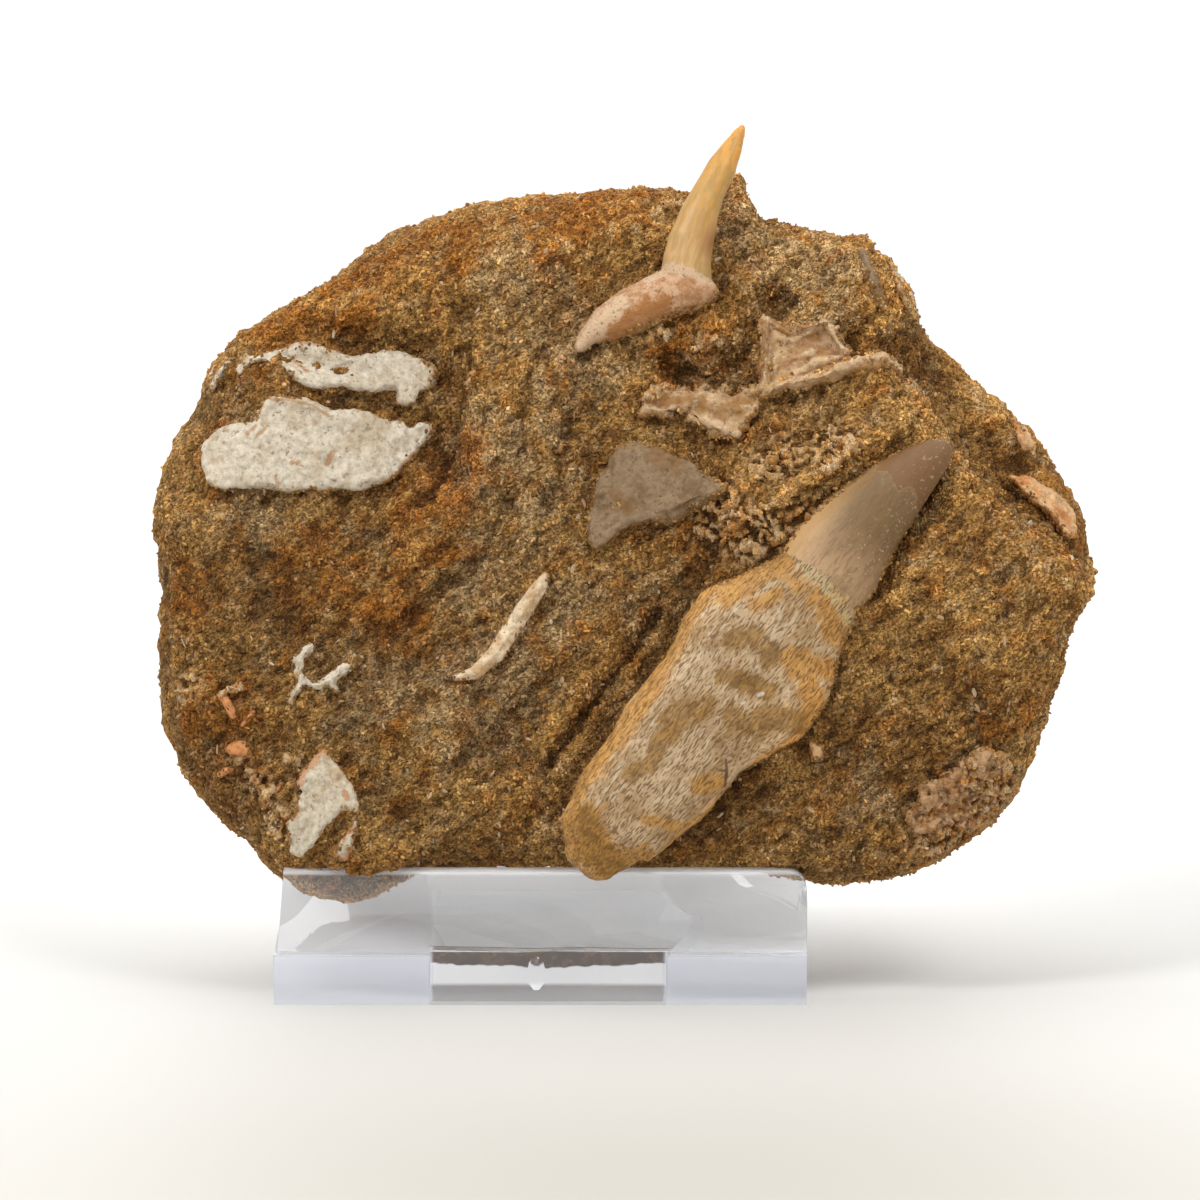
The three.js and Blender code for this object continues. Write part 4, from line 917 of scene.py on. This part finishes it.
def carve(rock):
    """Cuts the face's sharp steps, trenches and ridges, which smoothing has softened."""
    u, v, w = measured(rock, BLOCK_ORIGIN, BLOCK_AXES)
    rise = numpy.zeros(len(u))
    for line, drop, run_out in STEPS:
        beyond = -line_reach(line, u, v)
        from_ends = [numpy.hypot(u - end[0], v - end[1]) for end in (line[0], line[-1])]
        fade = eased(numpy.minimum(*from_ends), 0, STEP_ENDS)
        slope = numpy.exp(-(numpy.maximum(beyond, 0) / run_out) ** 2)
        rise -= drop * fade * eased(beyond, 0, STEP_EDGE) * slope
    for line, half_width, height in TRENCHES:
        rise += height * near_line(line, half_width, u, v)
    raise_points(rock, rise * eased(w, *CARVING_BEGINS))


def raise_bone(piece, ridge_share=1.0):
    """Raises the edges of crushed bone, and keeps how much of it there is at each of the points."""
    u, v, w = measured(piece, BLOCK_ORIGIN, BLOCK_AXES)
    share = numpy.zeros(len(u))
    for spot_u, spot_v, radius in SPONGY_SPOTS:
        reach = numpy.hypot(u - spot_u, v - spot_v) / radius
        share = numpy.maximum(share, numpy.clip(1.6 - reach, 0, 1))
    rise = numpy.zeros(len(u))
    for line, half_width, height in BONE_RIDGES:
        near = near_line(line, half_width, u, v)
        rise = numpy.maximum(rise, ridge_share * height * near)
        share = numpy.maximum(share, numpy.clip(1.6 * near, 0, 1))
    on_top = eased(w, *CRUSHED_BONE_BEGINS)
    raise_points(piece, rise * on_top)
    keep_values(piece, "spongy", share * on_top)


def keep_hollow(tree, mesh, name, steps):
    """Keeps how far each point lies below the blurred ground round it, in millimetres."""
    place = point_place(tree)
    about = put(tree, "GeometryNodeBlurAttribute", {"Value": place, "Iterations": steps},
                data_type="FLOAT_VECTOR").outputs[0]
    depth = arrows(tree, "DOT_PRODUCT", arrows(tree, "SUBTRACT", about, place), point_normal(tree))
    return note(tree, mesh, name, sums(tree, "DIVIDE", depth, MM))


def note_valleys(rock):
    """Keeps how deep each point lies in the wide hollows of the face."""
    tree, mesh = new_shaping("valleys")
    shape_with(rock, tree, keep_hollow(tree, mesh, "valley", steps=50))


def weather(rock):
    """Wears the block: lumps, bedding streaks, grain-sized relief and webs in the crushed bone."""
    tree, mesh = new_shaping("weathering")
    place = point_place(tree)
    bed, _ = turned(tree, place, BLOCK_ORIGIN, BED_AXES, (0.3, 1.0, 0.6))
    # clouds and how deep they reach, in millimetres
    layers = [(clouds(tree, place, 5.0, 2.0), 0.7), (clouds(tree, bed, 1.5, 3.0), 1.1),
              (clouds(tree, place, 1.3, 3.0, 0.7), 1.1), (clouds(tree, place, 0.55, 2.0, 0.7), 0.6)]
    web = sums(tree, "SUBTRACT", curls(tree, wandering(tree, place, 1.5, 1.0), 1.1), 0.35)
    rise = sums(tree, "MULTIPLY", web, noted(tree, "spongy"), 0.65 * MM)
    for value, depth in layers:
        rise = leaning(tree, rise, sums(tree, "SUBTRACT", value, 0.5), depth * MM)
    push = put(tree, "ShaderNodeVectorMath", {0: point_normal(tree), "Scale": rise},
               operation="SCALE").outputs[0]
    worn = put(tree, "GeometryNodeSetPosition", {"Geometry": mesh, "Offset": push}).outputs[0]
    shape_with(rock, tree, keep_hollow(tree, worn, "hollow", steps=9))


def on_face(point):
    """Whether a point of the block lies on its face and not on its back."""
    return ((point - BLOCK_ORIGIN) / MM).dot(BLOCK_OUT) > FACE_EDGE


def make_rock():
    """The block: its pockets are filled round the fossils, then it is carved and weathered."""
    rock = copy_of("matrix", "sandstone_block")
    beds = [bed_of(node, sink=0.8, ragged=1.4) for nodes, *_ in FOSSILS for node in nodes]
    beds += [bed_of("mosasaur_tooth", sink=0.3, shrink=0.5), bed_of("shark_tooth", sink=0.2, shrink=0.5)]
    only(rock, *beds)
    bpy.ops.object.join()
    remesh(rock, ROCK_VOXEL, 1)
    carve(rock)
    note_valleys(rock)
    pick_faces(rock, on_face)
    bpy.ops.mesh.subdivide(number_cuts=1)
    bpy.ops.object.mode_set(mode="OBJECT")
    raise_bone(rock)
    weather(rock)
    return finish_piece(rock, rock_finish(), "sandstone", "matrix")


# ---- the sand ----

ANY_TURN = (6.28, 6.28, 6.28)       # the most that a grain is turned about each axis, in radians


def part_of(source, name, keep):
    """A copy of the faces whose middle passes the test."""
    skin = new_object(name, source.data.copy())
    pick_faces(skin, lambda point: not keep(point))
    bpy.ops.mesh.delete(type="FACE")
    bpy.ops.object.mode_set(mode="OBJECT")
    return skin


def random_steps(tree, low, high, seed):
    """Three random numbers, each between its low and high."""
    return put(tree, "FunctionNodeRandomValue", {"Min": low, "Max": high, "Seed": seed},
               data_type="FLOAT_VECTOR").outputs[0]


def near_rock(tree):
    """1 where a fossil meets the rock, or where sand is to cover it, easing to 0 away from there."""
    reach = leaning(tree, noted(tree, "contact"), noted(tree, "sandy"), -2.0)
    reach = leaning(tree, reach, clouds(tree, point_place(tree), 1.4, 3.0), -1.0)
    return level(tree, reach, 0.45, 0.05)


def scatter(skin, name, finish, shape, per_mm2, size, low, high, seed, clinging=False):
    """Scatters grains over a skin, scaled from low to high, and keeps a random tint on each."""
    grains = new_object(name, skin.data.copy())
    tree, mesh = new_shaping(name)
    density = per_mm2 / MM ** 2
    if clinging:
        density = sums(tree, "MULTIPLY", near_rock(tree), density)
    points = put(tree, "GeometryNodeDistributePointsOnFaces", {
        "Mesh": mesh, "Density": density, "Seed": seed}).outputs["Points"]
    if shape == "round":
        grain = put(tree, "GeometryNodeMeshIcoSphere", {"Radius": size * MM / 2, "Subdivisions": 1})
    else:
        grain = put(tree, "GeometryNodeMeshCube", {"Size": (size * MM,) * 3})
    placed = put(tree, "GeometryNodeInstanceOnPoints", {
        "Points": points, "Instance": grain.outputs["Mesh"],
        "Rotation": random_steps(tree, (0, 0, 0), ANY_TURN, seed + 1),
        "Scale": random_steps(tree, low, high, seed + 2)}).outputs[0]
    tint = put(tree, "FunctionNodeRandomValue", {"Seed": seed + 3}, data_type="FLOAT").outputs[1]
    tinted = note(tree, placed, "tint", tint, "INSTANCE")
    shape_with(grains, tree, put(tree, "GeometryNodeRealizeInstances", {"Geometry": tinted}).outputs[0])
    return finish_piece(grains, finish, "sandstone", smooth=False)


def make_crumbs(fossils, sand):
    """Sand that still clings to the fossils where the rock meets them."""
    skins = [new_object(f"{fossil.name} skin", fossil.data.copy()) for fossil in fossils]
    only(*skins)
    bpy.ops.object.join()
    skin = skins[0]
    for turn, (per_mm2, size) in enumerate([(6.2, 0.30), (3.0, 0.45)]):
        scatter(skin, f"clinging_grains_{turn + 1}", sand, "round", per_mm2, size,
                (0.6, 0.5, 0.4), (1.2, 1.0, 0.8), 310 + 10 * turn, clinging=True)
    bpy.data.objects.remove(skin)


def make_sand(rock, sand):
    """Grains, slivers and chips of shell over the face, and coarser grains over the back."""
    face = part_of(rock, "face skin", on_face)
    behind = part_of(rock, "back skin", lambda point: not on_face(point))
    for turn in range(2):
        scatter(face, f"face_grains_{turn + 1}", sand, "round", 1.2, 0.36 - 0.08 * turn,
                (0.55, 0.5, 0.45), (1.3, 1.1, 1.0), 10 + 10 * turn)
        scatter(face, f"face_slivers_{turn + 1}", sand, "sliver", 1.3, 0.26,
                (0.8, 0.25, 0.25), (1.9, 0.8, 0.6), 50 + 10 * turn)
    scatter(behind, "back_grains", sand, "round", 1.0, 0.4, (0.55, 0.5, 0.45), (1.4, 1.1, 1.0), 110)
    scatter(face, "shell_chips", chip_finish(), "round", 0.06, 0.6, (0.5, 0.3, 0.2), (1.7, 0.8, 0.4), 210)
    bpy.data.objects.remove(face)
    bpy.data.objects.remove(behind)


# ---- the fossils ----

# stains on the mosasaur tooth: a line of places along and across it, and the half width
GOLD_STAINS = [
    ([(27.6, -5.2), (24.3, -6.9), (21.8, -7.8), (19.6, -7.9), (13.1, -6.9), (7.3, -6.5), (3.3, -6.4),
      (0.6, -5.0)], 0.8),
    ([(27.0, -4.6), (24.6, -5.8), (22.4, -6.6)], 0.9),
    ([(26.6, -2.6), (26.6, 0.1), (25.4, 2.2)], 1.1),
    ([(24.9, -3.6), (23.2, -4.4)], 0.6),
    ([(23.0, 2.9), (21.6, 0.2), (21.1, 2.2), (19.8, 4.0), (18.6, 4.8)], 0.8),
    ([(18.6, 4.8), (14.1, 3.3), (10.3, 2.8), (6.7, 2.0), (3.2, 1.6)], 0.6),
    ([(9.7, 0.6), (10.9, 1.6)], 0.7),
    ([(5.2, -1.0), (6.4, 1.2)], 0.5),
    ([(2.4, -5.2), (0.6, -3.4), (0.6, -0.8), (2.6, 1.0)], 1.5),
]
OLIVE_STAINS = [
    ([(20.2, -4.0), (21.3, -3.0), (20.8, -1.2)], 0.9),
    ([(14.8, -2.6), (13.2, -3.4), (12.2, -4.6)], 0.9),
    ([(12.2, -3.4), (10.4, -3.9), (9.0, -3.4), (7.2, -3.9)], 0.7),
    ([(2.6, -4.6), (1.0, -3.0), (1.2, -0.8)], 1.0),
    ([(15.4, -0.8), (15.6, 0.8), (17.2, 1.8), (18.4, 3.6)], 0.8),
    ([(17.4, -3.0), (18.6, 0.4)], 0.6),
]
GREEN_STAINS = [([(27.9, -3.2), (27.7, -1.6), (27.3, 0.2), (26.8, 2.0)], 0.45)]
WHITE_SPECKS = [([(17.9, 0.0), (18.2, 0.2)], 0.22), ([(16.6, -0.6), (16.8, -0.5)], 0.18)]
ROOT_CUTS = [([(12.6, 1.0), (12.0, 1.6), (11.1, 2.1)], 0.16), ([(12.0, 1.6), (11.6, 1.0)], 0.12)]
# stains on the shark tooth's root and marks on the white bones, as places on the block's face
SHARK_GOLD = [([(1.2, 41.9), (3.1, 42.6), (4.8, 43.9)], 1.0)]
SHARK_PALE = [
    ([(3.8, 46.0), (5.2, 46.6), (6.9, 46.6), (8.6, 45.9)], 0.5),
    ([(-1.3, 40.7), (-0.4, 42.2), (1.5, 43.9)], 0.8),
]
WHITE_BONE_MARKS = [
    ([(-20.6, 32.9), (-21.1, 32.0)], 0.22),
    ([(-23.8, 32.0), (-23.2, 32.1)], 0.18),
    ([(-25.0, 31.0), (-24.8, 30.3)], 0.14),
    ([(-25.6, 37.0), (-23.9, 36.9), (-22.2, 36.5), (-20.9, 35.7)], 0.12),
    ([(-27.2, 34.3), (-26.5, 34.9)], 0.16),
    ([(-26.5, 34.0), (-25.6, 34.9)], 0.14),
    ([(-24.0, 40.5), (-23.4, 39.9), (-22.6, 39.2)], 0.14),
]
BROKEN_BONE_MARKS = [
    ([(11.8, 38.9), (12.3, 40.6), (12.5, 42.2)], 0.6),
    ([(3.8, 36.7), (6.9, 36.6)], 0.35),
    ([(14.0, 39.3), (15.4, 40.8), (16.6, 41.6)], 0.5),
    ([(8.0, 36.2), (9.6, 35.4)], 0.4),
]
SCALE_MARKS = [
    ([(-23.2, 7.2), (-22.9, 7.9), (-21.9, 8.9), (-21.2, 9.7)], 0.40),
    ([(-19.6, 6.4), (-19.3, 6.0)], 0.2),
]
GREY_BONE_MARKS = [([(4.4, 32.6), (5.6, 31.9)], 0.8), ([(1.2, 29.4), (2.0, 28.4)], 0.5)]
# where sand still covers the shark tooth's root
SHARK_SAND = [([(3.6, 41.4), (5.6, 42.0), (7.6, 42.6), (9.4, 43.4)], 1.0)]
# the fossils beside the teeth, in groups of one look: their nodes, finish and slot, the size of the
# faces they are made anew from, the rounds of smoothing, and the width and depth of their lumps;
# then, for some, their marks, and whether the rock's ridges of crushed bone go on over them
FOSSILS = [
    (["upper_white_bone", "lower_white_bone"], "chalky bone", "chalky_bone", 0.18, 3,
     [(2.4, 0.5), (1.1, 0.4), (0.5, 0.25)], WHITE_BONE_MARKS),
    (["edge_bone", "ring_bone"], "chalky bone", "chalky_bone", 0.13, 2, [(1.0, 0.5), (0.5, 0.25)]),
    (["rib_splinter"], "cream bone", "cream_bone", 0.12, 4, [(1.4, 0.2)]),
    (["edge_crust", "cream_chip", "crust_chip"], "cream bone", "cream_bone", 0.13, 2,
     [(0.9, 0.5), (0.5, 0.25)]),
    (["broken_bone"], "crumbling bone", "cream_bone", 0.14, 2, [(1.6, 0.7), (0.7, 0.6)],
     BROKEN_BONE_MARKS, True),
    (["grey_fragment"], "grey bone", "grey_fragment", 0.16, 3, [(2.4, 0.6), (1.0, 0.4), (0.5, 0.2)],
     GREY_BONE_MARKS),
    (["spine"], "grey bone", "grey_fragment", 0.12, 3, [(1.0, 0.15)]),
    (["layered_shell", "orange_shell", "small_chip"], "shell", "shell", 0.13, 2, [(0.8, 0.5)]),
    (["porous_bone"], "porous bone", "porous_bone", 0.15, 2, [(1.2, 1.6), (0.6, 0.9)], [], True),
    (["scale_plate", "scale_strip"], "scale", "scale", 0.13, 2, [(1.6, 0.5), (0.7, 0.35)], SCALE_MARKS),
    (["splinter_1", "splinter_2", "splinter_3", "splinter_4", "splinter_5", "orange_chip"],
     "splinter", "splinter", 0.1, 2, [(0.8, 0.3)]),
]

# kept from the start, because the block that is made anew has its pockets filled
pocketed_rock = copy_of("matrix", "pocketed rock")


def keep_contact(piece):
    """Keeps, at each point of a fossil, how many millimetres the rock's pocket is away."""
    tree, mesh = new_shaping(f"{piece.name} contact")
    rock = put(tree, "GeometryNodeObjectInfo", {"Object": pocketed_rock}).outputs["Geometry"]
    near = put(tree, "GeometryNodeProximity", {0: rock}, target_element="FACES").outputs["Distance"]
    shape_with(piece, tree, note(tree, mesh, "contact", sums(tree, "DIVIDE", near, MM)))


def keep_stains(piece, x, y, **stains):
    """Keeps 1 inside each kind of stains at the places x, y, easing to 0 past their half width."""
    for name, lines in stains.items():
        share = numpy.zeros(len(x))
        for line, half_width in lines:
            reach = numpy.abs(line_reach(line, x, y)) / half_width
            share = numpy.maximum(share, numpy.clip(1.3 - 0.7 * reach, 0, 1))
        keep_values(piece, name, share)


def worn_copy(node, finish, slot, voxel, soften, lumps, marks=(), ridged=False):
    """A CAD node's solid with its edges worn, its surface roughened and its marks kept."""
    piece = copy_of(node, f"{node}_piece")
    remesh(piece, voxel, soften)
    if ridged:
        raise_bone(piece, 0.7)
    for size, depth in lumps:
        roughen(piece, size, depth)
    keep_contact(piece)
    if marks:
        u, v, _ = measured(piece, BLOCK_ORIGIN, BLOCK_AXES)
        keep_stains(piece, u, v, marks=marks)
    return finish_piece(piece, finish, slot, node)


def make_tooth():
    """The mosasaur tooth: a smooth crown, and a root that is lumpy and stained."""
    tooth = copy_of("mosasaur_tooth", "tooth")
    remesh(tooth, 0.18, 12)
    root = tooth.vertex_groups.new(name="root")
    for vertex in tooth.data.vertices:
        along = (vertex.co - TOOTH_END).dot(TOOTH_AXES[0]) / MM
        root.add([vertex.index], min(max(CROWN_STARTS_AT - along, 0), 1), "REPLACE")
    roughen(tooth, 3.5, 0.6, group="root")
    roughen(tooth, 0.9, 0.22, group="root")
    along, across, _ = measured(tooth, TOOTH_END, TOOTH_AXES)
    keep_stains(tooth, along, across, gold=GOLD_STAINS, olive=OLIVE_STAINS, green=GREEN_STAINS,
                white=WHITE_SPECKS, cut=ROOT_CUTS)
    keep_contact(tooth)
    return finish_piece(tooth, tooth_finish(), "tooth", "mosasaur_tooth")


def make_shark_tooth():
    tooth = worn_copy("shark_tooth", shark_finish(), "shark_tooth", 0.15, 10, [(1.6, 0.12)])
    u, v, _ = measured(tooth, BLOCK_ORIGIN, BLOCK_AXES)
    keep_stains(tooth, u, v, gold=SHARK_GOLD, pale=SHARK_PALE, sandy=SHARK_SAND)
    return tooth


def make_fossils():
    """Every fossil in the block, each group in its own finish; returns them all."""
    made = [make_tooth(), make_shark_tooth()]
    finishes = {name: bone_finish(name, *look) for name, look in BONES.items()}
    for nodes, look, *others in FOSSILS:
        made += [worn_copy(node, finishes[look], *others) for node in nodes]
    bpy.data.objects.remove(pocketed_rock)
    return made


# ---- the stand ----

def make_stand():
    stand = copy_of("display_stand", "clear_stand")
    use(stand, "BEVEL", width=0.28 * MM, segments=3, limit_method="ANGLE",
        angle_limit=math.radians(40))
    finish_piece(stand, clear_finish(), "clear_plastic", "display_stand", smooth=False)
    bpy.ops.object.shade_smooth_by_angle(angle=math.radians(30))


set_camera()
set_room()
sand = sand_finish()
rock = make_rock()
make_sand(rock, sand)
fossils = make_fossils()
make_crumbs(fossils, sand)
make_stand()
bpy.context.scene.view_settings.view_transform = "Standard"
